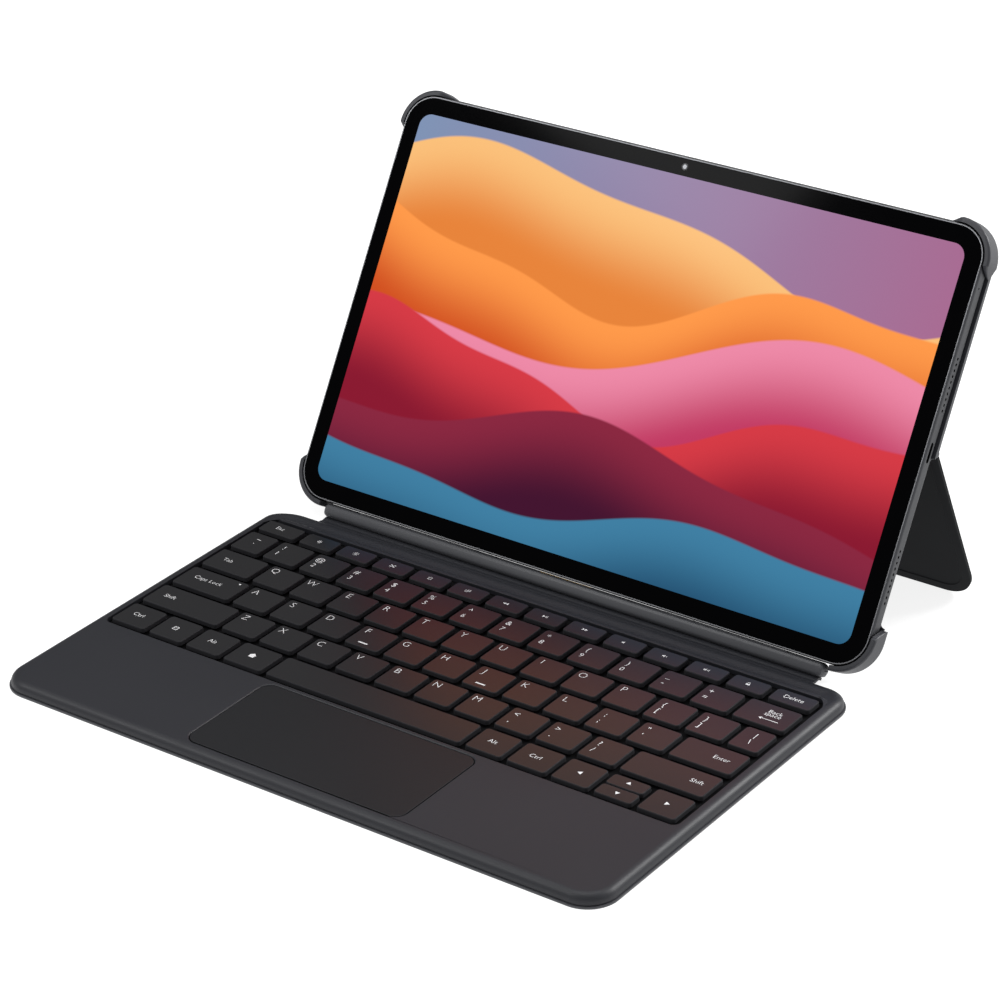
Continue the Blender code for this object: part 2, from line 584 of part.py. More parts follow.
def back_shell(frame, finish, lining_finish, pin_finish):
    half = TABLET_WIDTH / 2 + SHELL_SIDE
    top = TABLET_HEIGHT + SHELL_SIDE
    corner = TABLET_CORNER + SHELL_SIDE
    shell = body("back_shell", slab(-half, half, -GAP, top, -SHELL_BACK, -SHELL_FACE, corner), finish, frame)

    def upper_loop(inset, depth):
        inset += GAP / 2
        return flat_loop(-half + inset, half - inset, UPPER_FOOT, top - inset, corner - inset, -depth)

    upper = loft([upper_loop(0.0, SHELL_FACE + SHELL_WALL / 2), upper_loop(0.0, UPPER_BACK - UPPER_CHAMFER),
                  upper_loop(UPPER_CHAMFER, UPPER_BACK)])
    shape(shell, "UNION", upper)
    barrel_half = KICKSTAND_WIDTH / 2 - LUG_LENGTH
    groove = rod(BARREL_RADIUS + GAP, -barrel_half, barrel_half, HINGE_HEIGHT, -HINGE_DEPTH)
    shape(shell, "DIFFERENCE", groove)
    shape(shell, "UNION", merge([lug(-1), lug(1)]))
    shape(shell, "UNION", merge([clip(side, up) for side in (-1, 1) for up in (-1, 1)]))
    lens_x = TABLET_WIDTH / 2 - LENS_FROM_SIDE
    lens_y = TABLET_HEIGHT - LENS_FROM_TOP
    reach = LENS_MODULE / 2 + LENS_OPENING_MARGIN

    def lens_opening(depth_from, depth_to):
        return slab(lens_x - reach, lens_x + reach, lens_y - reach, lens_y + reach, -depth_to, -depth_from,
                    reach / 2, 3)

    shape(shell, "DIFFERENCE", lens_opening(LINING_FACE, UPPER_BACK + GAP))
    bores = [rod(PIN_RADIUS + GAP, x0, x1, HINGE_HEIGHT, -HINGE_DEPTH) for x0, x1 in pin_bores()]
    shape(shell, "DIFFERENCE", merge(bores))

    lining_loops = [tablet_loop(SHELL_WALL * 2, depth) for depth in (LINING_FACE + LINING, LINING_FACE)]
    lining = body("shell_lining", loft(lining_loops), lining_finish, frame)
    shape(lining, "DIFFERENCE", lens_opening(TABLET_THICKNESS, SHELL_FACE))
    for name, (x0, x1) in zip(("hinge_pin_left", "hinge_pin_right"), pin_bores()):
        body(name, rod(PIN_RADIUS, x0 + GAP, x1 - GAP, HINGE_HEIGHT, -HINGE_DEPTH), pin_finish, frame)


def kickstand(axis, finish):
    """A full-width panel below its barrel, drawn folded in with its foot towards -y."""
    half = KICKSTAND_WIDTH / 2
    barrel = half - LUG_LENGTH - GAP
    shoulder = BARREL_RADIUS + 2 * GAP
    thick = KICKSTAND_THICKNESS / 2
    foot = [(x, y) for x, y, _ in rounded(-half, half, -STAND_LENGTH, -shoulder, KICKSTAND_CORNER)]
    arcs = CORNER_STEPS + 1
    outline = foot[3 * arcs:] + foot[:arcs]
    outline += [(half, -shoulder), (barrel, -shoulder), (barrel, 0.0), (-barrel, 0.0), (-barrel, -shoulder),
                (-half, -shoulder)]
    panel = body("kickstand", loft([[(x, y, z) for x, y in outline] for z in (-thick, thick)]), finish, axis)
    border = KICKSTAND_BORDER
    recess = slab(-half + border, half - border, -STAND_LENGTH + border, -shoulder - border,
                  thick - KICKSTAND_RECESS, thick + GAP, KICKSTAND_CORNER - border)
    shape(panel, "DIFFERENCE", recess)
    shape(panel, "UNION", rod(BARREL_RADIUS, -barrel, barrel))
    shape(panel, "DIFFERENCE", merge([rod(PIN_RADIUS + GAP, x0, x1) for x0, x1 in pin_bores()]))


def build():
    clear_scene()
    skin = material("soft_skin", (0.040, 0.040, 0.046), 0.55)
    lip = material("lip_plastic", (0.055, 0.055, 0.060), 0.5)
    key = material("key_plastic", (0.026, 0.026, 0.029), 0.42)
    plate = material("plate_steel", (0.02, 0.02, 0.022), 0.5, 0.8)
    film = material("membrane_film", (0.5, 0.5, 0.48), 0.4)
    pad = material("pad_glass", (0.027, 0.028, 0.031), 0.35)
    board = material("board_green", (0.02, 0.09, 0.05), 0.5)
    cell = material("cell_pouch", (0.3, 0.3, 0.32), 0.35)
    bar = material("bar_plastic", (0.076, 0.078, 0.084), 0.5)
    gold = material("contact_gold", (0.8, 0.55, 0.2), 0.3, 1.0)
    magnet = material("magnet_nickel", (0.5, 0.5, 0.5), 0.3, 1.0)
    shell = material("shell_plastic", (0.045, 0.046, 0.050), 0.5)
    lining = material("lining_fabric", (0.03, 0.03, 0.032), 0.9)
    pin = material("pin_steel", (0.5, 0.5, 0.52), 0.3, 1.0)
    metal = material("tablet_metal", (0.16, 0.16, 0.17), 0.35, 0.9)
    glass = material("tablet_glass", (0.004, 0.004, 0.004), 0.08)
    panel = material("display_panel", (0.25, 0.08, 0.06), 0.3)

    deck = empty("keyboard_frame", location=(0, DECK_Y, 0))
    bottom_cover(deck, lip)
    top_cover(deck, skin)
    keyboard(deck, plate, key, film)
    palm_rest_pieces(deck, pad, board, cell)
    fold_strip(deck, skin)

    fold = empty("fold_axis", deck, (0, FOLD_BEHIND_DECK, FOLD_Z), LEAN)
    frame = empty("tablet_frame", fold, TABLET_PLACE)
    spine(frame, bar, gold, magnet)
    back_shell(frame, shell, lining, pin)
    tablet(frame, metal, glass, panel)
    hinge = empty("kickstand_axis", frame, (0, HINGE_HEIGHT, -HINGE_DEPTH), KICKSTAND_OPEN)
    kickstand(hinge, shell)


build()
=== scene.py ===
"""Looks for a tablet keyboard case: keyboard deck, folding spine, back shell with kickstand, and a tablet.

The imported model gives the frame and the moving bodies. Each section dresses one piece, from the table up.
"""
import json
from math import copysign, cos, pi, radians, sin

import bmesh
import bpy
from mathutils import Matrix, Quaternion, Vector


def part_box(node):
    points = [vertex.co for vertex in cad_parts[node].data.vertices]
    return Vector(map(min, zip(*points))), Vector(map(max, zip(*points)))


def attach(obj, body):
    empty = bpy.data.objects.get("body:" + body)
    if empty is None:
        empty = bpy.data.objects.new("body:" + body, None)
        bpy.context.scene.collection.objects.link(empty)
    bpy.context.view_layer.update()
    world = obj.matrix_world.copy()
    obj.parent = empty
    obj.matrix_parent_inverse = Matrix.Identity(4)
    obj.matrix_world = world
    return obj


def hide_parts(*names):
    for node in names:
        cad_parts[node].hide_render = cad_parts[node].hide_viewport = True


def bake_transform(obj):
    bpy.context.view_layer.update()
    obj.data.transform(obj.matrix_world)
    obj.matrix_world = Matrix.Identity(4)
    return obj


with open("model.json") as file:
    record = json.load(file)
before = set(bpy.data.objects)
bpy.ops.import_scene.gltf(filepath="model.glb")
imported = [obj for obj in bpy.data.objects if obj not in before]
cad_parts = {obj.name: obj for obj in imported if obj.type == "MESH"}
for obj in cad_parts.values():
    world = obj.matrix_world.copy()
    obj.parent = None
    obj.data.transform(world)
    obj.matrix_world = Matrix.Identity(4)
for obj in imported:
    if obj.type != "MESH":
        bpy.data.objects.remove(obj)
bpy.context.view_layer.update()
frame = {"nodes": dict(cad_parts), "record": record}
MM = 0.001
TOUCH = 0.001 * MM
SHARP = radians(35)


# Bottom cover: a thin tray moulded in ABS, whose lip stands a little proud below the skin's edge.
# It is a shade lighter than the skin, and the upper cover snaps over the rim inside its lip.
DECK_LOW, DECK_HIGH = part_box("bottom_cover")
DECK_CORNER = 13.0 * MM
LEAST_CORNER = 3.0 * MM
LIP_HEIGHT = 1.0 * MM
CLOUD_SIZE = 40 * MM


def colour(hex_code):
    """Linear colour from an sRGB hex code."""
    values = [int(hex_code[i:i + 2], 16) / 255 for i in (0, 2, 4)]
    return (*[v / 12.92 if v <= 0.04045 else ((v + 0.055) / 1.055) ** 2.4 for v in values], 1.0)


def add(tree, kind, links=None, **values):
    """One shader node; links are its inputs, each a socket or a number, and values its settings."""
    node = tree.nodes.new(kind)
    for name, value in values.items():
        setattr(node, name, value)
    for name, source in (links or {}).items():
        if isinstance(source, bpy.types.NodeSocket):
            tree.links.new(source, node.inputs[name])
        else:
            node.inputs[name].default_value = source
    return node


def finish(name, hex_code, roughness, metallic=0.0, grain=None, depth=0.0, mottle=0.0, gloss=0.5):
    """A surface with a grain in real millimetres and a slow change of roughness over it."""
    made = bpy.data.materials.new(name)
    made.use_nodes = True
    tree = made.node_tree
    shader = tree.nodes["Principled BSDF"]
    shader.inputs["Base Color"].default_value = colour(hex_code)
    shader.inputs["Roughness"].default_value = roughness
    shader.inputs["Metallic"].default_value = metallic
    shader.inputs["Specular IOR Level"].default_value = gloss
    place = add(tree, "ShaderNodeTexCoord").outputs["Object"]
    if grain:
        noise = add(tree, "ShaderNodeTexNoise", {"Vector": place, "Scale": 1 / (grain * MM), "Detail": 3.0})
        bump = add(tree, "ShaderNodeBump", {"Height": noise.outputs["Fac"], "Distance": depth * MM})
        tree.links.new(bump.outputs["Normal"], shader.inputs["Normal"])
    if mottle:
        cloud = add(tree, "ShaderNodeTexNoise", {"Vector": place, "Scale": 1 / CLOUD_SIZE, "Detail": 2.0})
        spread = add(tree, "ShaderNodeMapRange", {"Value": cloud.outputs["Fac"], "To Min": roughness - mottle,
                                                  "To Max": roughness + mottle})
        tree.links.new(spread.outputs["Result"], shader.inputs["Roughness"])
    return made


def piece(name, bm, *materials):
    """A mesh object from a bmesh, normals out, smooth but for its sharp edges."""
    bmesh.ops.recalc_face_normals(bm, faces=bm.faces)
    for face in bm.faces:
        face.smooth = True
    mesh = bpy.data.meshes.new(name)
    bm.to_mesh(mesh)
    bm.free()
    for material in materials:
        mesh.materials.append(material)
    mesh.set_sharp_from_angle(angle=SHARP)
    made = bpy.data.objects.new(name, mesh)
    bpy.context.collection.objects.link(made)
    even = made.modifiers.new("flat faces stay flat", "WEIGHTED_NORMAL")
    even.keep_sharp = True
    return made


body_of = {node: body for body, nodes in frame["record"]["behaviour"]["bodies"].items() for node in nodes}


def seat(made, node):
    """The piece takes the place of a CAD node and its body."""
    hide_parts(node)
    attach(made, body_of[node])


def outline(bm, low, high, radius, z, turns=12):
    """A rounded rectangle of edges: four corners, each bevelled to an arc."""
    old_edges = set(bm.edges)
    old_faces = set(bm.faces)
    places = ((low[0], low[1]), (high[0], low[1]), (high[0], high[1]), (low[0], high[1]))
    corners = [bm.verts.new((x, y, z)) for x, y in places]
    bm.faces.new(corners)
    bmesh.ops.bevel(bm, geom=corners, offset=radius, offset_type="OFFSET", segments=turns, profile=0.5,
                    affect="VERTICES", material=-1)
    bmesh.ops.delete(bm, geom=[f for f in bm.faces if f not in old_faces], context="FACES_ONLY")
    return [e for e in bm.edges if e not in old_edges]


def deck_ring(bm, inset, z, rear_z=None, side=None, rear=None):
    """A ring inside the deck's outline, at another height where it faces the fold."""
    side = inset if side is None else side
    rear = inset if rear is None else rear
    radius = max(DECK_CORNER - inset, LEAST_CORNER)
    low = (DECK_LOW.x + side, DECK_LOW.y + rear)
    high = (DECK_HIGH.x - side, DECK_HIGH.y - rear)
    edges = outline(bm, low, high, radius, z)
    if rear_z is not None:
        for vert in {v for e in edges for v in e.verts}:
            turned = max(0.0, 1 + (vert.co.y - high[1]) / radius)
            vert.co.z += (rear_z - z) * turned ** 2
    return edges


def lofted(bm, rings, closed=False):
    """Joins rings of edges into one skin, filled at both ends or joined round into a tube."""
    pairs = list(zip(rings, rings[1:]))
    if closed:
        pairs.append((rings[-1], rings[0]))
    for ring, after in pairs:
        bmesh.ops.bridge_loops(bm, edges=ring + after)
    if not closed:
        for end in (rings[0], rings[-1]):
            bmesh.ops.edgeloop_fill(bm, edges=end)


# the tray's rings from its underside over the lip and the rim to its floor: inset and height, in millimetres
TRAY_RINGS = ((0.33, 0.0), (0.1, 0.1), (0.0, 0.33), (0.0, 0.8), (0.06, 0.94), (0.2, 1.0), (2.5, 1.0),
              (2.5, 1.6), (3.5, 1.6), (3.5, 0.9))
tray = bmesh.new()
lofted(tray, [deck_ring(tray, inset * MM, z * MM) for inset, z in TRAY_RINGS])
# ABS moulded against a fine spark-eroded tool, which leaves a soft sheen along the lip
lip_plastic = finish("abs_lip", "434448", 0.45, grain=0.25, depth=0.01, gloss=0.4)
seat(piece("bottom_cover_tray", tray, lip_plastic), "bottom_cover")


# Upper cover: soft polyurethane skin pressed over a moulded frame, rolled over along the palm rest.
# It has the key well, the window for the trackpad, and a shallow valley behind a ridge along the fold.
DECK_TOP = 5.2 * MM
ROLL_OVER = 3.4 * MM
ROLL_STEPS = 8
SKIN_EDGE = 0.7 * MM
INNER_WALL = 2.2 * MM
WALL_FOOT = 1.3 * MM
FLANGE_TOP = 3.4 * MM
BLOCK_WIDTH = 267.4 * MM
WELL_HALF = BLOCK_WIDTH / 2 + 2.3 * MM
WELL_REAR = DECK_HIGH.y - 12.8 * MM
WELL_FRONT = DECK_HIGH.y - 118.8 * MM
WELL_CORNER = 3.0 * MM
WELL_FLOOR = 3.2 * MM
# rings along the fold, over the valley and up the ridge: from the rear, height there, from the sides
VALLEY = ((5.2, 3.2, 4.3), (6.6, 3.0, 4.45), (8.2, 3.05, 4.6), (9.1, 3.4, 4.75), (9.8, 4.2, 4.85),
          (10.3, 4.85, 4.95), (10.8, 5.12, 5.05), (11.4, 5.2, 5.12))
# rings of the well's rounded edge: how far out and how far down
WELL_EDGE = ((0.3, 0.0), (0.1, 0.07), (0.0, 0.3))
WINDOW_GAP = 0.3 * MM
WINDOW_ROUND = 0.7 * MM
PAD_CORNER = 5.0 * MM
OVER_THE_DECK = 8 * MM


def well_ring(bm, grow, z):
    """The key well's outline at one height."""
    low = (-WELL_HALF - grow, WELL_FRONT - grow)
    high = (WELL_HALF + grow, WELL_REAR + grow)
    return outline(bm, low, high, WELL_CORNER + grow, z)


def block(bm, low, high, corner=0.0, turns=6, flare=0.0):
    """A block with rounded upright corners, its foot flared where that is asked; it gives its faces."""
    before = set(bm.faces)
    size = [b - a for a, b in zip(low, high)]
    middle = [(a + b) / 2 for a, b in zip(low, high)]
    verts = bmesh.ops.create_cube(bm, size=1.0)["verts"]
    bmesh.ops.scale(bm, vec=size, verts=verts)
    for vert in verts:
        if flare and vert.co.z < 0:
            vert.co.x += copysign(flare, vert.co.x)
            vert.co.y += copysign(flare, vert.co.y)
    bmesh.ops.translate(bm, vec=middle, verts=verts)
    if corner:
        upright = [e for e in {e for v in verts for e in v.link_edges}
                   if abs(e.verts[0].co.z - e.verts[1].co.z) > size[2] / 2]
        bmesh.ops.bevel(bm, geom=upright, offset=corner, offset_type="OFFSET", segments=turns, profile=0.5,
                        affect="EDGES", material=-1)
    return [f for f in bm.faces if f not in before]


def soften(bm, faces, z, radius, steps=3):
    """Rounds the edge of the flat face at one height; it gives the new faces."""
    flat = [f for f in faces if all(abs(v.co.z - z) < TOUCH for v in f.verts)]
    rim = list({e for f in flat for e in f.edges})
    return bmesh.ops.bevel(bm, geom=rim, offset=radius, offset_type="OFFSET", segments=steps, profile=0.5,
                           affect="EDGES", material=-1)["faces"]


def carve(bm, tool, operation="DIFFERENCE"):
    """Cuts a tool out of a shape, or joins it on; both are used up and the result is given."""
    holders = []
    for shape in (bm, tool):
        bmesh.ops.recalc_face_normals(shape, faces=shape.faces)
        mesh = bpy.data.meshes.new("shape")
        shape.to_mesh(mesh)
        shape.free()
        holders.append(bpy.data.objects.new("shape", mesh))
        bpy.context.collection.objects.link(holders[-1])
    cut = holders[0].modifiers.new("carve", "BOOLEAN")
    cut.operation = operation
    cut.object = holders[1]
    made = bmesh.new()
    made.from_object(holders[0], bpy.context.evaluated_depsgraph_get())
    for holder in holders:
        mesh = holder.data
        bpy.data.objects.remove(holder)
        bpy.data.meshes.remove(mesh)
    return made


cover = bmesh.new()
rings = [deck_ring(cover, SKIN_EDGE, WALL_FOOT)]
for step in range(ROLL_STEPS + 1):
    angle = radians(90 * step / ROLL_STEPS)
    inward = SKIN_EDGE + ROLL_OVER * (1 - cos(angle))
    rear_z = WALL_FOOT + (FLANGE_TOP - WALL_FOOT) * (1 + sin(angle)) / 2
    rings.append(deck_ring(cover, inward, DECK_TOP - ROLL_OVER * (1 - sin(angle)), rear_z))
for rear, rear_z, side in VALLEY:
    rings.append(deck_ring(cover, SKIN_EDGE + ROLL_OVER, DECK_TOP, rear_z * MM, side * MM, rear * MM))
rings += [well_ring(cover, grow * MM, DECK_TOP - drop * MM) for grow, drop in WELL_EDGE]
rings += [well_ring(cover, 0.0, WELL_FLOOR), deck_ring(cover, INNER_WALL, 3.7 * MM, 1.9 * MM),
          deck_ring(cover, INNER_WALL, WALL_FOOT)]
lofted(cover, rings, closed=True)
pad_low, pad_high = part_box("trackpad")
window = bmesh.new()
block(window, (pad_low.x - WINDOW_GAP, pad_low.y - WINDOW_GAP, LIP_HEIGHT),
      (pad_high.x + WINDOW_GAP, pad_high.y + WINDOW_GAP, OVER_THE_DECK), PAD_CORNER + WINDOW_GAP, 10)
cover = carve(cover, window)
window_edge = [e for e in cover.edges if all(abs(v.co.z - DECK_TOP) < TOUCH for v in e.verts)
               and any(f.normal.z < 0.5 for f in e.link_faces)
               and all(pad_low.y - MM < v.co.y < pad_high.y + MM for v in e.verts)]
bmesh.ops.bevel(cover, geom=window_edge, offset=WINDOW_ROUND, offset_type="OFFSET", segments=3, profile=0.5,
                affect="EDGES", material=-1)
# polyurethane leathercloth: a pebble of about a third of a millimetre and a dull, slightly uneven sheen
skin = finish("soft_skin", "26272c", 0.48, grain=0.34, depth=0.022, mottle=0.06, gloss=0.36)
seat(piece("upper_cover_skin", cover, skin), "top_cover")


# Keys: caps moulded in ABS with a flared foot, a soft edge and legends printed in white.
# The letters, digits and space bar travel on stems; the rest ride with the plate that carries them.
KEY_PITCH = 19.0 * MM
KEY_WIDTH = 16.05 * MM
KEY_DEPTH = 15.0 * MM
ROW_PITCH = 18.5 * MM
FN_DEPTH = 8.7 * MM
BLOCK_REAR = DECK_HIGH.y - 16.0 * MM
FN_GAP = 3.3 * MM
KEY_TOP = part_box("key_a")[1].z
CAP_FOOT = KEY_TOP - 1.8 * MM
CAP_SPREAD = 0.15 * MM
CAP_FLARE = 0.15 * MM
CAP_CORNER = 1.5 * MM
CAP_EDGE = 0.35 * MM
ARROW_GAP = 0.6 * MM
PRINT_LIFT = 0.015 * MM
# satin ABS: smooth enough to hold a blurred reflection of the screen, with a fine grain
key_plastic = finish("abs_key", "17171a", 0.3, grain=0.2, depth=0.003, mottle=0.03, gloss=0.8)
# the same ABS where the tool is left dull, on the keys' sides, which draw no bright line; their lighter
# colour is painted light, as if the sides caught the light
key_side_painted_light = finish("abs_key_side_painted_light", "2b2b2e", 0.65, grain=0.2, depth=0.003, gloss=0.12)
# pad-printed ink, matt
legend_white = finish("legend_ink", "e6e7e9", 0.7, mottle=0.05, gloss=0.2)
# black-filled polycarbonate with a dead matt face, its near-black colour also painted shade, so that the gaps
# between the keys stay dark
plate_black_and_painted_shade = finish("plate_polycarbonate_painted_shade", "0a0a0c", 0.8, grain=0.3, depth=0.01, gloss=0.1)
KEY_FINISHES = (key_plastic, legend_white, key_side_painted_light, plate_black_and_painted_shade)
INK, SIDE, PLATE = 1, 2, 3


def cap(bm, x, y, width, depth):
    """One key cap, flared at the foot, its top edge rounded, with a duller finish on its sides and painted
    light there: a lighter colour.
    """
    low = (x - width / 2 - CAP_SPREAD, y - depth / 2, CAP_FOOT)
    high = (x + width / 2 + CAP_SPREAD, y + depth / 2 + CAP_SPREAD, KEY_TOP)
    before = set(bm.faces)
    soften(bm, block(bm, low, high, CAP_CORNER, 4, CAP_FLARE), KEY_TOP, CAP_EDGE)
    # the sides and the rounded edge take the lighter colour, painted light
    for face in set(bm.faces) - before:
        if min(v.co.z for v in face.verts) < KEY_TOP - TOUCH:
            face.material_index = SIDE


def lettering(bm, text, x, y, size, thin=0.03 * MM):
    """Printed text on a key's top, from the built-in font with thinned strokes."""
    curve = bpy.data.curves.new("legend", "FONT")
    curve.body = text
    curve.size = size
    curve.offset = -thin
    curve.space_line = 0.62
    curve.align_x = "CENTER"
    curve.align_y = "CENTER"
    curve.resolution_u = 3
    holder = bpy.data.objects.new("legend", curve)
    bpy.context.collection.objects.link(holder)
    bpy.context.view_layer.update()
    flat = bpy.data.meshes.new_from_object(holder.evaluated_get(bpy.context.evaluated_depsgraph_get()))
    flat.transform(Matrix.Translation((x, y, KEY_TOP + PRINT_LIFT)))
    before = set(bm.faces)
    bm.from_mesh(flat)
    for face in bm.faces:
        if face not in before:
            face.material_index = INK
    bpy.data.objects.remove(holder)
    bpy.data.curves.remove(curve)
    bpy.data.meshes.remove(flat)


def printed(bm, points, x, y, size):
    """One printed polygon on a key's top, its points in units of size."""
    corners = [bm.verts.new((x + px * size, y + py * size, KEY_TOP + PRINT_LIFT)) for px, py in points]
    bm.faces.new(corners).material_index = INK


def arrow_head(bm, x, y, size, turn):
    """A solid arrow head; turn 0 points to the right."""
    angles = [radians(turn + a) for a in (0, 120, 240)]
    printed(bm, [(0.5 * cos(a), 0.5 * sin(a)) for a in angles], x, y, size)


def stroke(bm, x, y, width, height):
    """A printed bar."""
    printed(bm, [(-width, -height), (width, -height), (width, height), (-width, height)], x, y, 0.5)


def hoop(bm, x, y, outer, inner, sides=20, turn=0):
    """A printed ring, round or with few sides: a circle inset and emptied."""
    place = Matrix.Translation((x, y, KEY_TOP + PRINT_LIFT)) @ Matrix.Rotation(radians(turn), 4, "Z")
    before = set(bm.faces)
    bmesh.ops.create_circle(bm, cap_ends=True, radius=outer, segments=sides, matrix=place)
    disc = [f for f in bm.faces if f not in before]
    band = []
    if inner:
        band = bmesh.ops.inset_region(bm, faces=disc, thickness=(outer - inner) * cos(pi / sides),
                                      use_boundary=True, use_even_offset=True)["faces"]
        bmesh.ops.delete(bm, geom=disc, context="FACES_ONLY")
    for face in band or disc:
        face.material_index = INK


def speaker(bm, x, y, waves):
    """A loudspeaker sign with none, one or two sound waves."""
    stroke(bm, x - 1.1 * MM, y, 0.5 * MM, 0.7 * MM)
    printed(bm, [(-0.5, -0.3), (0.3, -0.9), (0.3, 0.9), (-0.5, 0.3)], x - 0.4 * MM, y, 0.9 * MM)
    for wave in range(waves):
        stroke(bm, x + (0.6 + 0.6 * wave) * MM, y, 0.24 * MM, (0.8 + 0.7 * wave) * MM)


def sun(bm, x, y, reach):
    """A brightness sign: a ring and eight dots."""
    hoop(bm, x, y, 0.6 * MM, 0.34 * MM, 16)
    for ray in range(8):
        angle = 2 * pi * ray / 8
        hoop(bm, x + reach * cos(angle), y + reach * sin(angle), 0.19 * MM, 0.0, 6)


def function_sign(bm, name, x, y):
    """The small signs of the function row."""
    if name in ("f1", "f2"):
        sun(bm, x, y, 0.95 * MM if name == "f1" else 1.2 * MM)
    elif name == "f3":
        for across, along in ((-0.8, 0.6), (0.8, 0.6), (0.0, 0.0), (-0.8, -0.6), (0.8, -0.6)):
            stroke(bm, x + across * MM, y + along * MM, 0.85 * MM, 0.5 * MM)
    elif name == "f4":
        hoop(bm, x, y, 1.2 * MM, 0.9 * MM, 4, 45)
    elif name == "f5":
        for side in (-1, 1):
            hoop(bm, x + side * 0.5 * MM, y + side * 0.3 * MM, 0.95 * MM, 0.68 * MM, 4, 45)
    elif name in ("f6", "f8"):
        for side in (-1, 1):
            arrow_head(bm, x + side * 0.65 * MM, y, 1.7 * MM, 180 if name == "f6" else 0)
    elif name == "f7":
        arrow_head(bm, x - 0.7 * MM, y, 1.7 * MM, 0)
        for side in (0.5, 1.1):
            stroke(bm, x + side * MM, y, 0.3 * MM, 1.4 * MM)
    elif name in ("f9", "f10", "f11"):
        speaker(bm, x, y, int(name[1:]) - 9)
    elif name == "f12":
        stroke(bm, x, y - 0.4 * MM, 1.7 * MM, 1.2 * MM)
        hoop(bm, x, y + 0.5 * MM, 0.65 * MM, 0.38 * MM, 12)


def key_rows():
    """Name, centre, width and depth of every key, from the same pitch as the plate's stem holes."""
    gap = KEY_PITCH - KEY_WIDTH
    wide = {"esc": 18.5, "grave": 14.0, "tab": 23.7, "caps": 28.6, "shift_left": 38.4, "ctrl": 16.5,
            "home": 18.4, "ctrl_right": 17.0}
    rows = (["esc", *[f"f{i}" for i in range(1, 13)], "delete"],
            ["grave", *"1234567890", "minus", "equals", "backspace"],
            ["tab", *"qwertyuiop", "bracket_left", "bracket_right", "backslash"],
            ["caps", *"asdfghjkl", "semicolon", "quote", "enter"],
            ["shift_left", *"zxcvbnm", "comma", "point", "slash", "shift_right"],
            ["ctrl", "menu", "alt", "home", "space", "alt_right", "ctrl_right", "left", "up_down", "right"])
    stretch = ("delete", "backspace", "backslash", "enter", "shift_right", "space")
    front = BLOCK_REAR - FN_DEPTH
    for number, row in enumerate(rows):
        depth = KEY_DEPTH if number else FN_DEPTH
        widths = {name: wide[name] * MM if name in wide else KEY_WIDTH for name in row if name not in stretch}
        spare = BLOCK_WIDTH - gap * (len(row) - 1) - sum(widths.values())
        x = -BLOCK_WIDTH / 2
        for name in row:
            width = widths.get(name, spare)
            yield name, x + width / 2, front + depth / 2, width, depth
            x += width + gap
        front -= ROW_PITCH if number else FN_GAP + KEY_DEPTH


# words with their place from the key's centre, in millimetres
WORDS = {"esc": ("Esc", -1.0, 0.4), "delete": ("Delete", 0.0, 0.4), "tab": ("Tab", -4.0, 0.5),
         "caps": ("Caps Lock", -2.0, 0.9), "enter": ("Enter", 5.2, 0.5), "shift_left": ("Shift", -11.0, 0.5),
         "shift_right": ("Shift", 10.9, 0.6), "ctrl": ("Ctrl", -0.6, 0.6), "alt": ("Alt", -0.6, 0.5),
         "alt_right": ("Alt", -0.6, 0.5), "ctrl_right": ("Ctrl", -0.6, 0.5),
         "backspace": ("Back\nspace", 2.2, 1.6)}
# the sign above the digit, or both signs of a key, upper first
PAIRS = {"1": "!", "2": "@", "3": "#", "4": "$", "5": "%", "6": "^", "7": "&", "8": "*", "9": "(", "0": ")",
         "grave": "~`", "minus": "_-", "equals": "+=", "bracket_left": "{[", "bracket_right": "}]",
         "backslash": "|\\", "semicolon": ":;", "quote": "\"'", "comma": "<,", "point": ">.", "slash": "?/"}


def legend(bm, name, x, y):
    """What is printed on one key."""
    if name in WORDS:
        word, across, along = WORDS[name]
        lettering(bm, word, x + across * MM, y + along * MM, 3.3 * MM)
    elif name in PAIRS:
        upper, lower = (PAIRS[name] + name)[:2]
        across = 0.0 if name in ("grave", "backslash") else -4.6 * MM
        for sign, along in ((upper, 3.0), (lower, -1.9)):
            lettering(bm, sign, x + across, y + along * MM, (3.9 if sign.isdigit() else 4.3) * MM, 0.02 * MM)
    elif len(name) == 1:
        lettering(bm, name.upper(), x - 4.8 * MM, y + 4.0 * MM, 5.0 * MM, 0.09 * MM)
    elif name in ("left", "right"):
        arrow_head(bm, x, y + 0.5 * MM, 2.5 * MM, 180 if name == "left" else 0)
    elif name == "menu":
        for turn in (45, 135):
            spot = Vector((0.75 * MM, 0, 0))
            spot.rotate(Quaternion((0, 0, 1), radians(turn)))
            hoop(bm, x - 0.6 * MM + spot.x, y + 0.5 * MM + spot.y, 0.75 * MM, 0.45 * MM, 16)
            hoop(bm, x - 0.6 * MM - spot.x, y + 0.5 * MM - spot.y, 0.75 * MM, 0.45 * MM, 16)
    elif name == "home":
        printed(bm, [(-0.6, -0.6), (0.6, -0.6), (0.6, 0.1), (0.85, 0.1), (0, 0.9), (-0.85, 0.1), (-0.6, 0.1)],
                x - 0.6 * MM, y + 0.4 * MM, 2.0 * MM)
    else:
        function_sign(bm, name, x - 0.5 * MM, y + 0.4 * MM)
    if name in ("f", "j"):
        stroke(bm, x - 0.8 * MM, y - 4.6 * MM, 4.4 * MM, 0.75 * MM)
    if name == "caps":
        hoop(bm, x + 10.8 * MM, y + 5.6 * MM, 0.5 * MM, 0.0, 12)
    if name == "backspace":
        stroke(bm, x + 2.8 * MM, y - 3.0 * MM, 7.5 * MM, 0.3 * MM)
        arrow_head(bm, x - 1.1 * MM, y - 3.0 * MM, 1.9 * MM, 180)


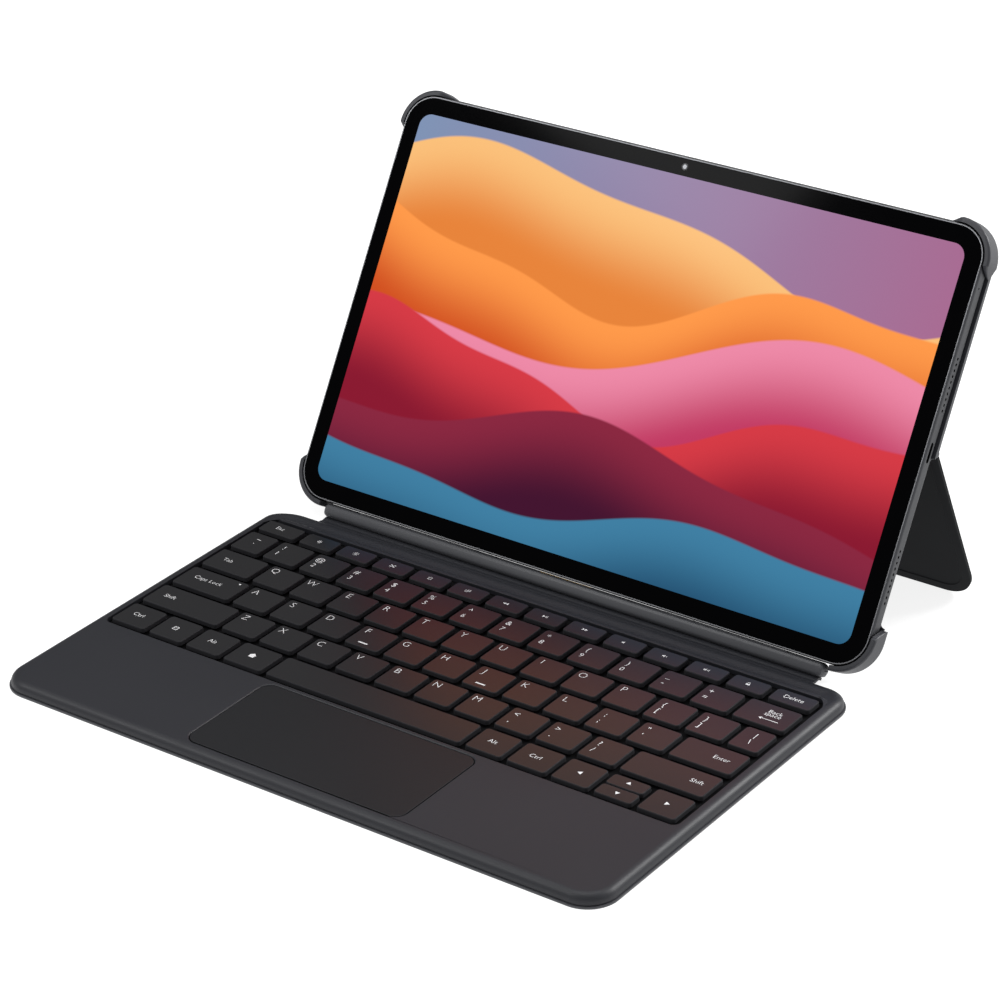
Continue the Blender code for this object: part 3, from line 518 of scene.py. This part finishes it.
plate_low, plate_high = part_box("key_plate")
PLATE_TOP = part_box("switch_membrane")[1].z + 1.4 * MM
PLATE_THICK = 0.8 * MM
fixed = bmesh.new()
# the plate takes the near-black colour, partly painted shade for the gaps between the keys
for face in block(fixed, (*plate_low.xy, PLATE_TOP - PLATE_THICK), (*plate_high.xy, PLATE_TOP), WELL_CORNER):
    face.material_index = PLATE
for name, x, y, width, depth in key_rows():
    if name == "up_down":
        half = (depth - ARROW_GAP) / 2
        for side in (-1, 1):
            centre = y + side * (half + ARROW_GAP) / 2
            cap(fixed, x, centre, width, half - 0.25 * MM)
            arrow_head(fixed, x, centre + 0.4 * MM, 2.3 * MM, 90 * side)
    elif name == "space" or len(name) == 1:
        sprung = bmesh.new()
        cap(sprung, x, y, width, depth)
        if name != "space":
            legend(sprung, name, x, y)
        seat(piece(f"cap_{name}", sprung, *KEY_FINISHES), f"key_{name}")
    else:
        cap(fixed, x, y, width, depth)
        legend(fixed, name, x, y)
seat(piece("key_plate_and_fixed_keys", fixed, *KEY_FINISHES), "key_plate")


# Trackpad: a matt coated glass plate in its window, a shade darker than the palm rest.
# Its edge is ground to a small chamfer, and it clicks on a switch below.
PAD_CHAMFER = 0.3 * MM
pad = bmesh.new()
pad_faces = block(pad, pad_low, pad_high, PAD_CORNER, 10)
for face in soften(pad, pad_faces, pad_high.z, PAD_CHAMFER, 2):
    face.material_index = 1
# etched glass with a dark coat, smoother than the skin round it
pad_coat = finish("etched_pad", "191a1d", 0.42, grain=0.15, depth=0.003, mottle=0.03, gloss=0.35)
# the bare ground edge, hardly lighter than the coat, so that it reads as one dark line
pad_chamfer = finish("ground_chamfer", "1c1d20", 0.45, mottle=0.04, gloss=0.35)
seat(piece("trackpad_plate", pad, pad_coat, pad_chamfer), "trackpad")


# Inside the deck: printed film, two boards and the cell, which show only when the covers are taken off.
# They lie on the tray's floor under the plate and the palm rest.
def coat(node, material):
    """A CAD node keeps its shape and gets a finish."""
    for held in frame["nodes"][node].material_slots:
        held.material = material


# milky polyester film, faintly wavy
coat("switch_membrane", finish("polyester_film", "b9b9b6", 0.35, grain=2.0, depth=0.01, gloss=0.5))
# green solder mask, satin, with the glass weave just showing through
board_green = finish("solder_mask", "26543f", 0.4, grain=0.6, depth=0.01, mottle=0.05)
coat("trackpad_switch", board_green)
coat("control_board", board_green)
# the cell's aluminium foil, creased and half bright
coat("battery_pack", finish("foil_pouch", "949498", 0.35, 0.6, grain=4.0, depth=0.05, mottle=0.05))


# Fold strip: skin laminated over a flat cable, from the deck's rear wall to the underside of the spine bar.
# It lies along the deck at one edge and the bar, where it is glued on, at the other.
LEAN = radians(59.07)
FOLD_AXIS = Vector((0, 38.794, 6.47)) * MM
LAP_RAISE = 0.32 * MM


def cad_shape(node):
    """A CAD node's own shape with its facets joined up again."""
    source = frame["nodes"][node]
    bm = bmesh.new()
    bm.from_mesh(source.data)
    bmesh.ops.transform(bm, matrix=source.matrix_world, verts=bm.verts)
    bmesh.ops.remove_doubles(bm, verts=bm.verts, dist=TOUCH)
    bmesh.ops.dissolve_limit(bm, angle_limit=radians(1), verts=bm.verts, edges=bm.edges)
    for face in bm.faces:
        face.material_index = 0
    return bm


strip = cad_shape("fold_strip")
to_bar = Vector((0, cos(LEAN), sin(LEAN)))
lap = [v for v in strip.verts if v.co.y > FOLD_AXIS.y + 0.8 * MM]
lap_middle = sum(v.co.dot(to_bar) for v in lap) / len(lap)
glued = [v for v in lap if v.co.dot(to_bar) > lap_middle]
bmesh.ops.translate(strip, vec=to_bar * LAP_RAISE, verts=glued)
long_edges = [e for e in strip.edges if abs(e.verts[0].co.y - e.verts[1].co.y) > 0.6 * MM]
bmesh.ops.subdivide_edges(strip, edges=long_edges, cuts=4, use_grid_fill=True)
fold = piece("fold_strip_skin", strip, skin)
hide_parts("fold_strip")
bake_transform(fold)


# Spine bar: a bar moulded in glass-filled nylon that the tablet's lower edge stands on.
# Magnets and sprung contacts are pressed into its top face.
def round_edges(made, width, angle):
    """Rounds a piece's edges that are sharper than an angle."""
    bevel = made.modifiers.new("soft edge", "BEVEL")
    bevel.width = width
    bevel.segments = 3
    bevel.limit_method = "ANGLE"
    bevel.angle_limit = angle
    bevel.harden_normals = True


# glass-filled nylon: a lighter, satin grey with a slightly uneven sheen
bar_nylon = finish("bar_nylon", "4b4c50", 0.48, grain=0.25, depth=0.008, mottle=0.04)
bar = piece("spine_bar_look", cad_shape("spine_bar"), bar_nylon)
seat(bar, "spine_bar")
round_edges(bar, 0.15 * MM, SHARP)
# hard gold over the contacts, finely brushed
coat("pogo_contacts", finish("contact_gold", "d8b25e", 0.25, 1.0, grain=0.3, depth=0.003))
# dull nickel plate, its colour painted dark all over: painted shade of the bar over it
magnet_nickel = finish("nickel_plate", "4a4a4d", 0.45, 1.0, grain=0.2, depth=0.004)
coat("spine_magnet_left", magnet_nickel)
coat("spine_magnet_right", magnet_nickel)


# Back shell: soft-coated polycarbonate behind the tablet, with a clip at each corner up to the glass.
# The upper half is thicker and holds the steel pins of the kickstand's hinge; a lining is glued inside.
TABLET_FOOT = Matrix.Translation((0, 3.4 * MM, -0.73 * MM))
ON_TABLET = Matrix.Translation(FOLD_AXIS) @ Matrix.Rotation(LEAN, 4, "X") @ TABLET_FOOT
TABLET_HALF = 138.2 * MM
TABLET_HEIGHT = 176.7 * MM
TABLET_CORNER = 13.5 * MM
SHELL_HALF = TABLET_HALF + 0.8 * MM
SHELL_TOP = TABLET_HEIGHT + 0.8 * MM
SHELL_FACE = -7.8 * MM
SHELL_BACK = -8.7 * MM
UPPER_BACK = -10.6 * MM
HINGE_HEIGHT = 88.9 * MM
HINGE_DEPTH = -9.8 * MM
BARREL_RADIUS = 1.3 * MM
BARREL_HALF = 130.2 * MM
CLEAR = 0.3 * MM
SHELL_CORNER = 14.3 * MM
UPPER_STEP = 0.15 * MM
UPPER_FOOT = HINGE_HEIGHT + 1.6 * MM
WAIST_DEPTH = 2.2 * MM
WAIST_LOW = 19 * MM
WAIST_HIGH = 87 * MM
LENS_X = TABLET_HALF - 24 * MM
LENS_Y = TABLET_HEIGHT - 24 * MM
LENS_OPENING = 13 * MM
# how far a clip runs along the tablet's upper and lower edge, in millimetres
UPPER_RUN = 6.0
LOWER_RUN = 1.5


def round_bar(bm, radius, x0, x1, y, z):
    """A round bar along X."""
    place = Matrix.Translation(((x0 + x1) / 2, y, z)) @ Matrix.Rotation(radians(90), 4, "Y")
    bmesh.ops.create_cone(bm, cap_ends=True, segments=24, radius1=radius, radius2=radius, depth=x1 - x0,
                          matrix=place)


def clip(side, up, end_run):
    """A wall swept round one corner of the tablet, drawn out into a ramp at both ends."""
    bm = bmesh.new()
    centre = (TABLET_HALF - TABLET_CORNER, TABLET_HEIGHT / 2 - TABLET_CORNER, 0.0)
    foot, top = SHELL_BACK + CLEAR, -CLEAR
    section = [bm.verts.new((TABLET_HALF + out * MM, centre[1], z))
               for out, z in ((0.3, foot), (2.5, foot), (2.5, top), (0.3, top))]
    bm.faces.new(section)
    bmesh.ops.bevel(bm, geom=[section[2]], offset=1.0 * MM, offset_type="OFFSET", segments=4, profile=0.5,
                    affect="VERTICES", material=-1)
    bmesh.ops.delete(bm, geom=list(bm.faces), context="FACES_ONLY")
    first = list(bm.edges)
    swept = bmesh.ops.spin(bm, geom=list(bm.verts) + first, cent=centre, axis=(0, 0, 1), angle=pi / 2,
                           steps=20, use_merge=False, use_duplicate=False)
    last = [g for g in swept["geom_last"] if isinstance(g, bmesh.types.BMEdge)]
    inner = (TABLET_HALF + CLEAR, TABLET_HEIGHT / 2 + CLEAR, 0)
    # steps of each ramp: how far it goes along X and Y, how far its top drops, and how thick it stays
    side_ramp = ((0, -0.5, 0.0, 0.9), (0, -1.4, 1.6, 0.75), (0, -1.6, 2.9, 0.6), (0, -1.2, 2.4, 0.6))
    end_ramp = ((-0.2 * end_run, 0, 0.5, 0.9), (-0.4 * end_run, 0, 2.0, 0.6), (-0.4 * end_run, 0, 2.0, 0.25))
    for ring, ramp in ((first, side_ramp), (last, end_ramp)):
        for x, y, drop, taper in ramp:
            made = bmesh.ops.extrude_edge_only(bm, edges=ring)["geom"]
            verts = [g for g in made if isinstance(g, bmesh.types.BMVert)]
            ring = [g for g in made if isinstance(g, bmesh.types.BMEdge) and all(v in verts for v in g.verts)]
            if up > 0:
                thinner = (taper, 1, 1) if y else (1, taper, 1)
                bmesh.ops.scale(bm, vec=thinner, verts=verts, space=Matrix.Translation(inner).inverted())
            bmesh.ops.translate(bm, vec=(x * MM, y * MM, 0), verts=verts)
            upper_verts = [v for v in verts if v.co.z > foot + 0.2 * MM]
            bmesh.ops.translate(bm, vec=(0, 0, -drop * MM), verts=upper_verts)
    bmesh.ops.holes_fill(bm, edges=bm.edges)
    bmesh.ops.scale(bm, vec=(side, up, 1), verts=bm.verts)
    bmesh.ops.translate(bm, vec=(0, TABLET_HEIGHT / 2, 0), verts=bm.verts)
    return bm


shell = bmesh.new()
block(shell, (-SHELL_HALF, -CLEAR, SHELL_BACK), (SHELL_HALF, SHELL_TOP, SHELL_FACE), SHELL_CORNER, 14)
upper = bmesh.new()
block(upper, (-SHELL_HALF + UPPER_STEP, UPPER_FOOT, UPPER_BACK),
      (SHELL_HALF - UPPER_STEP, SHELL_TOP - UPPER_STEP, SHELL_FACE - 0.4 * MM))
for height, corner in ((SHELL_TOP - UPPER_STEP, 14.1 * MM), (UPPER_FOOT, 3.0 * MM)):
    upright = [e for e in upper.edges if all(abs(v.co.y - height) < TOUCH for v in e.verts)
               and abs(e.verts[0].co.z - e.verts[1].co.z) > MM]
    bmesh.ops.bevel(upper, geom=upright, offset=corner, offset_type="OFFSET", segments=14, profile=0.5,
                    affect="EDGES", material=-1)
soften(upper, upper.faces, UPPER_BACK, 0.8 * MM, 4)
shell = carve(shell, upper, "UNION")
groove = bmesh.new()
round_bar(groove, BARREL_RADIUS + CLEAR, -BARREL_HALF - CLEAR, BARREL_HALF + CLEAR, HINGE_HEIGHT, HINGE_DEPTH)
shell = carve(shell, groove)
for side in (-1, 1):
    waist = bmesh.new()
    block(waist, (side * SHELL_HALF - WAIST_DEPTH, WAIST_LOW, -12 * MM),
          (side * SHELL_HALF + WAIST_DEPTH, WAIST_HIGH, 0), 2.0 * MM)
    shell = carve(shell, waist)
    lug = bmesh.new()
    lug_from, lug_to = sorted((side * (BARREL_HALF + 2 * CLEAR), side * (SHELL_HALF - 0.3 * MM)))
    round_bar(lug, BARREL_RADIUS, lug_from, lug_to, HINGE_HEIGHT, HINGE_DEPTH)
    shell = carve(shell, lug, "UNION")
    neck = bmesh.new()
    block(neck, (lug_from, HINGE_HEIGHT, UPPER_BACK + 0.3 * MM),
          (lug_to, HINGE_HEIGHT + 5 * MM, SHELL_FACE - 0.2 * MM))
    shell = carve(shell, neck, "UNION")
    for up in (-1, 1):
        shell = carve(shell, clip(side, up, UPPER_RUN if up > 0 else LOWER_RUN), "UNION")
opening = bmesh.new()
block(opening, (LENS_X - LENS_OPENING, LENS_Y - LENS_OPENING, UPPER_BACK - MM),
      (LENS_X + LENS_OPENING, LENS_Y + LENS_OPENING, -7.1 * MM), LENS_OPENING / 2, 10)
shell = carve(shell, opening)
bmesh.ops.transform(shell, matrix=ON_TABLET, verts=shell.verts)
# polycarbonate with a soft-touch paint, which dulls it and holds a faint mottle
shell_coat = finish("soft_touch_shell", "323338", 0.45, grain=0.3, depth=0.012, mottle=0.05, gloss=0.45)
seat(piece("back_shell_coated", shell, shell_coat), "back_shell")
# microfibre with a short nap and hardly any sheen
coat("shell_lining", finish("microfibre_lining", "303033", 0.95, grain=0.5, depth=0.05, gloss=0.2))
# ground steel, bright with fine scratches
pin_steel = finish("ground_steel", "b9b9bc", 0.3, 1.0, grain=0.2, depth=0.003)
coat("hinge_pin_left", pin_steel)
coat("hinge_pin_right", pin_steel)


# Kickstand: a full-width panel in the shell's polycarbonate, with a shallow field inside its border.
# Its barrel turns on the two pins, and its foot has broad round corners.
STAND_HALF = TABLET_HALF + 0.3 * MM
STAND_THICK = 0.8 * MM
STAND_SLOPE = LEAN + radians(56.3)
STAND_AXIS = ON_TABLET @ Vector((0, HINGE_HEIGHT, HINGE_DEPTH))
STAND_LENGTH = (STAND_AXIS.z + STAND_THICK * cos(STAND_SLOPE)) / sin(STAND_SLOPE)
SHOULDER = BARREL_RADIUS + 2 * CLEAR
STAND_CORNER = 14.0 * MM
STAND_BORDER = 4.0 * MM
FIELD_SLOPE = 0.35 * MM
FIELD_DEPTH = 0.3 * MM
stand = bmesh.new()
block(stand, (-STAND_HALF, -STAND_LENGTH, -STAND_THICK), (STAND_HALF, -SHOULDER, STAND_THICK))
foot_edges = [e for e in stand.edges if all(abs(v.co.y + STAND_LENGTH) < TOUCH for v in e.verts)
              and abs(e.verts[0].co.z - e.verts[1].co.z) > MM]
bmesh.ops.bevel(stand, geom=foot_edges, offset=STAND_CORNER, offset_type="OFFSET", segments=16, profile=0.5,
                affect="EDGES", material=-1)
front_face = [f for f in stand.faces if all(abs(v.co.z - STAND_THICK) < TOUCH for v in f.verts)]
bmesh.ops.inset_region(stand, faces=front_face, thickness=STAND_BORDER, use_even_offset=True)
bmesh.ops.inset_region(stand, faces=front_face, thickness=FIELD_SLOPE, depth=-FIELD_DEPTH,
                       use_even_offset=True)
tongue = bmesh.new()
block(tongue, (-BARREL_HALF, -SHOULDER - MM, -STAND_THICK), (BARREL_HALF, 0, STAND_THICK))
stand = carve(stand, tongue, "UNION")
barrel = bmesh.new()
round_bar(barrel, BARREL_RADIUS, -BARREL_HALF, BARREL_HALF, 0, 0)
stand = carve(stand, barrel, "UNION")
stand.normal_update()
for face in stand.faces:
    # the outside faces take the shell's paint; the inside faces and edges take the darker colour, painted
    # shade
    face.material_index = int(face.normal.z < -0.5)
ON_HINGE = Matrix.Translation(STAND_AXIS) @ Matrix.Rotation(STAND_SLOPE, 4, "X")
bmesh.ops.transform(stand, matrix=ON_HINGE, verts=stand.verts)
# polycarbonate inside with a fine texture, its colour painted darker than the paint it has outside: painted
# shade of the tablet over it
stand_inside_painted_shade = finish("textured_polycarbonate_painted_shade", "17181a", 0.6, grain=0.3, depth=0.012, mottle=0.04,
                       gloss=0.06)
panel = piece("kickstand_panel", stand, stand_inside_painted_shade, shell_coat)
seat(panel, "kickstand")
round_edges(panel, 0.25 * MM, radians(50))


# Tablet: a milled and blasted aluminium housing with a cut rim, a display and a black-bordered cover glass.
# Speaker holes, a microphone hole and a socket go into its right edge; a lens module stands out behind.

# the housing's rings from its back round the edge into the pocket: inset and depth behind the glass
HOUSING_RINGS = ((1.2, 6.8), (0.7, 6.7), (0.3, 6.45), (0.08, 6.05), (0.0, 5.6), (0.0, 1.7), (0.1, 1.2),
                 (0.3, 0.75), (0.5, 0.25), (0.9, 0.25), (0.9, 2.2))
RIM_DEPTH = 0.25 * MM
MODULE_HALF = 10 * MM
MODULE_BACK = -7.7 * MM
BAND_MIDDLE = -3.6 * MM
SPEAKER_HOLE = 0.6 * MM
SPEAKER_LENGTH = 20.7
SPEAKERS_FROM = (28.5, 105.3)
HOLES_IN_ROW = 10
MICROPHONE_HOLE = 0.4 * MM
MICROPHONE_HEIGHT = 154.0 * MM
SOCKET_LOW = 84.4 * MM
SOCKET_HIGH = 92.7 * MM
SOCKET_HALF = 1.0 * MM
GLASS_EDGE = 0.95 * MM
SCREEN_HALF = 130.2 * MM
SCREEN_LOW, SCREEN_HIGH = 8.3 * MM, 168.6 * MM


def tablet_ring(bm, inset, depth):
    """A ring inside the tablet's outline, a depth behind its glass."""
    low = (-TABLET_HALF + inset * MM, inset * MM)
    high = (TABLET_HALF - inset * MM, TABLET_HEIGHT - inset * MM)
    return outline(bm, low, high, TABLET_CORNER - inset * MM, -depth * MM, 14)


housing = bmesh.new()
lofted(housing, [tablet_ring(housing, inset, depth) for inset, depth in HOUSING_RINGS])
for face in housing.faces:
    if all(abs(v.co.z + RIM_DEPTH) < 0.01 * MM for v in face.verts):
        face.material_index = 1
module = bmesh.new()
module_faces = block(module, (LENS_X - MODULE_HALF, LENS_Y - MODULE_HALF, MODULE_BACK),
                     (LENS_X + MODULE_HALF, LENS_Y + MODULE_HALF, -6.0 * MM), MODULE_HALF / 2, 10)
soften(module, module_faces, MODULE_BACK, 0.25 * MM)
housing = carve(housing, module, "UNION")
drills = bmesh.new()
holes = [((low + SPEAKER_LENGTH * i / (HOLES_IN_ROW - 1)) * MM, SPEAKER_HOLE)
         for low in SPEAKERS_FROM for i in range(HOLES_IN_ROW)]
for height, radius in (*holes, (MICROPHONE_HEIGHT, MICROPHONE_HOLE)):
    round_bar(drills, radius, TABLET_HALF - MM, TABLET_HALF + MM, height, BAND_MIDDLE)
socket = block(drills, (TABLET_HALF - 4 * MM, SOCKET_LOW, BAND_MIDDLE - SOCKET_HALF),
               (TABLET_HALF + MM, SOCKET_HIGH, BAND_MIDDLE + SOCKET_HALF))
socket_edges = [e for e in {e for f in socket for e in f.edges}
                if abs(e.verts[0].co.x - e.verts[1].co.x) > MM]
bmesh.ops.bevel(drills, geom=socket_edges, offset=0.98 * SOCKET_HALF, offset_type="OFFSET", segments=5,
                profile=0.5, affect="EDGES", material=-1)
for face in drills.faces:
    face.material_index = 2
housing = carve(housing, drills)
bmesh.ops.transform(housing, matrix=ON_TABLET, verts=housing.verts)
# dark anodised aluminium, blasted to a fine even matt
tablet_metal = finish("blasted_aluminium", "3a3b3e", 0.38, 0.85, grain=0.12, depth=0.003, mottle=0.03)
# the diamond-cut rim, a thin bright line round the glass
rim_metal = finish("cut_rim", "7e7f82", 0.4, 1.0, mottle=0.04)
# the holes' walls, their near-black colour painted shade, as they lie lost in shade
hole_black = finish("hole_black", "08080a", 0.8, grain=0.2, depth=0.01, gloss=0.1)
seat(piece("tablet_housing_milled", housing, tablet_metal, rim_metal, hole_black), "tablet_housing")
glass = bmesh.new()
glass_faces = block(glass, (-TABLET_HALF + GLASS_EDGE, GLASS_EDGE, -0.75 * MM),
                    (TABLET_HALF - GLASS_EDGE, TABLET_HEIGHT - GLASS_EDGE, 0.0),
                    TABLET_CORNER - GLASS_EDGE, 14)
soften(glass, glass_faces, 0.0, 0.25 * MM)
bmesh.ops.transform(glass, matrix=ON_TABLET, verts=glass.verts)
# cover glass printed black behind: deep and smooth
cover_glass = finish("cover_glass", "020203", 0.08, mottle=0.02, gloss=0.03)
seat(piece("tablet_cover_glass", glass, cover_glass), "tablet_glass")
# the display's dark carrier, which shows only with the glass off
coat("tablet_display", finish("display_back", "101012", 0.4, grain=1.0, depth=0.002))


def wave_picture():
    """Layered waves, each a band of its own colour that fades away from its crest."""
    made = bpy.data.materials.new("screen_waves")
    made.use_nodes = True
    tree = made.node_tree
    tree.nodes.clear()
    place = add(tree, "ShaderNodeTexCoord").outputs["Object"]
    split = add(tree, "ShaderNodeSeparateXYZ", {"Vector": place})
    foot, head = ((ON_TABLET @ Vector((0, y, 0))).z for y in (SCREEN_LOW, SCREEN_HIGH))
    across = add(tree, "ShaderNodeMapRange", {"Value": split.outputs["X"], "From Min": -SCREEN_HALF,
                                              "From Max": SCREEN_HALF}).outputs[0]
    up = add(tree, "ShaderNodeMapRange", {"Value": split.outputs["Z"], "From Min": foot,
                                          "From Max": head}).outputs[0]

    def maths(operation, a, b=0.0, c=0.0):
        return add(tree, "ShaderNodeMath", {0: a, 1: b, 2: c}, operation=operation).outputs[0]

    picture = add(tree, "ShaderNodeMix", {"Factor": across, 6: colour("7f93b5"), 7: colour("a86c93")},
                  data_type="RGBA").outputs[2]
    # each layer: crest and deep colour, height, swing, waves across and phase
    layers = (("fbc07a", "e8843a", 0.86, 0.10, 5.0, 0.4), ("ff9a4a", "d2501f", 0.70, 0.09, 6.5, 2.2),
              ("ee8aa8", "c23a63", 0.56, 0.11, 4.2, 3.9), ("d63a45", "8a1830", 0.42, 0.08, 7.0, 1.1),
              ("8a2740", "43122f", 0.27, 0.07, 5.6, 5.0), ("3f7fa3", "1b4566", 0.12, 0.05, 6.2, 2.9))
    for crest, deep, base, swing, rate, phase in layers:
        bend = maths("SINE", maths("MULTIPLY_ADD", across, rate, phase))
        ripple = maths("SINE", maths("MULTIPLY_ADD", across, rate * 2.3, phase * 1.7))
        edge = maths("MULTIPLY_ADD", bend, swing, maths("MULTIPLY_ADD", ripple, swing * 0.3, base))
        below = maths("SUBTRACT", edge, up)
        mask = add(tree, "ShaderNodeMapRange", {"Value": below, "From Min": -0.003,
                                                "From Max": 0.003}).outputs[0]
        fade = add(tree, "ShaderNodeMapRange", {"Value": below, "From Min": 0.0, "From Max": 0.24},
                   interpolation_type="SMOOTHSTEP").outputs[0]
        band = add(tree, "ShaderNodeMix", {"Factor": fade, 6: colour(crest), 7: colour(deep)},
                   data_type="RGBA").outputs[2]
        picture = add(tree, "ShaderNodeMix", {"Factor": mask, 6: picture, 7: band},
                      data_type="RGBA").outputs[2]
    glow = add(tree, "ShaderNodeBsdfPrincipled",
               {"Base Color": (0.0, 0.0, 0.0, 1.0), "Roughness": 0.1, "Specular IOR Level": 0.05,
                "Emission Color": picture, "Emission Strength": 1.0})
    out = add(tree, "ShaderNodeOutputMaterial")
    tree.links.new(glow.outputs[0], out.inputs["Surface"])
    return made


screen = bmesh.new()
screen_edge = outline(screen, (-SCREEN_HALF, SCREEN_LOW), (SCREEN_HALF, SCREEN_HIGH), 5.5 * MM, 0.04 * MM, 10)
bmesh.ops.edgeloop_fill(screen, edges=screen_edge)
bmesh.ops.transform(screen, matrix=ON_TABLET, verts=screen.verts)
# the lit picture: layered waves in warm colours over a blue foot, whose glow also tints the keys
lit_screen = piece("lit_screen", screen, wave_picture())
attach(lit_screen, "tablet")


def lens_rings(places, facing):
    """Round lenses, each a ring with a glass disc in it, on the front or the back of the tablet."""
    bm = bmesh.new()
    for x, y, z, radius in places:
        for share, lift, index in ((1.0, 0.03, 0), (0.6, 0.05, 1)):
            before = set(bm.faces)
            spot = Matrix.Translation((x, y, z + facing * lift * MM))
            bmesh.ops.create_circle(bm, cap_ends=True, radius=share * radius, segments=32, matrix=spot)
            for face in bm.faces:
                if face not in before:
                    face.material_index = index
                    if face.normal.z * facing < 0:
                        face.normal_flip()
    bmesh.ops.transform(bm, matrix=ON_TABLET, verts=bm.verts)
    return bm


# dark anodised ring, half bright
camera_ring = finish("lens_ring", "1d1e21", 0.3, 0.5, mottle=0.04)
# coated lens, smooth, with a bluish cast
camera_lens = finish("lens_coating", "3b4656", 0.08, mottle=0.02, gloss=0.8)
front_places = [(0, 172.4 * MM, 0, 1.5 * MM)]
front_lens = piece("front_camera", lens_rings(front_places, 1), camera_ring, camera_lens)
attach(front_lens, "tablet")
rear_places = [(LENS_X, LENS_Y + 4.2 * MM, MODULE_BACK, 3.8 * MM),
               (LENS_X, LENS_Y - 4.4 * MM, MODULE_BACK, 3.0 * MM)]
rear_lens = piece("rear_camera", lens_rings(rear_places, -1), camera_ring, camera_lens)
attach(rear_lens, "tablet")


# Floor, light and camera: a pale table and soft boxes overhead, behind on the right and in front on the left.
# A darker side of the room, behind on the left, keeps the left keys dark.
# The camera stands where the photograph's did.
floor_mesh = bmesh.new()
bmesh.ops.create_grid(floor_mesh, x_segments=1, y_segments=1, size=6.0)
# matt white table, lit from within so that it burns out to white as in the photograph
pale = finish("floor_white", "a0a0a0", 0.9, mottle=0.03, gloss=0.2)
pale.node_tree.nodes["Principled BSDF"].inputs["Emission Color"].default_value = colour("ffffff")
pale.node_tree.nodes["Principled BSDF"].inputs["Emission Strength"].default_value = 0.85
floor = piece("floor", floor_mesh, pale)
floor.location.z = -0.02 * MM
world = bpy.data.worlds.new("studio")
world.use_nodes = True
sky = world.node_tree
DARK_SIDE = (-0.55, 0.75, 0.36)
towards = add(sky, "ShaderNodeVectorMath", {0: add(sky, "ShaderNodeTexCoord").outputs["Generated"],
                                            1: DARK_SIDE}, operation="DOT_PRODUCT")
dark_side = add(sky, "ShaderNodeMapRange",
                {"Value": towards.outputs["Value"], "From Min": 0.6, "From Max": 0.9, "To Min": 0.42,
                 "To Max": 0.16}, interpolation_type="SMOOTHSTEP")
sky.nodes["Background"].inputs["Color"].default_value = colour("ffffff")
sky.links.new(dark_side.outputs["Result"], sky.nodes["Background"].inputs["Strength"])
bpy.context.scene.world = world


def soft_box(name, place, size, power):
    """A square area light that faces the middle of the object."""
    lamp = bpy.data.lights.new(name, "AREA")
    lamp.size = size
    lamp.energy = power
    made = bpy.data.objects.new(name, lamp)
    made.location = place
    made.rotation_euler = (-Vector(place)).to_track_quat("-Z", "Y").to_euler()
    bpy.context.collection.objects.link(made)


soft_box("overhead", (-0.2, 0.1, 1.4), 1.0, 8)
soft_box("right_rear", (0.75, 1.15, 0.85), 0.6, 22)
soft_box("left_front", (-0.8, -0.75, 1.1), 0.5, 6)

VIEW_FROM = Vector((725.1, -986.2, 692.2)) * MM
FORWARD = Vector((-0.52680, 0.71622, -0.45772))
ROLL = radians(-1.237)
lens = bpy.data.cameras.new("camera")
lens.lens = 127.867
lens.sensor_width = 36.0
camera = bpy.data.objects.new("camera", lens)
camera.location = VIEW_FROM
camera.rotation_euler = (FORWARD.to_track_quat("-Z", "Y") @ Quaternion((0, 0, 1), ROLL)).to_euler()
bpy.context.collection.objects.link(camera)
bpy.context.scene.camera = camera
bpy.context.scene.view_settings.view_transform = "Standard"
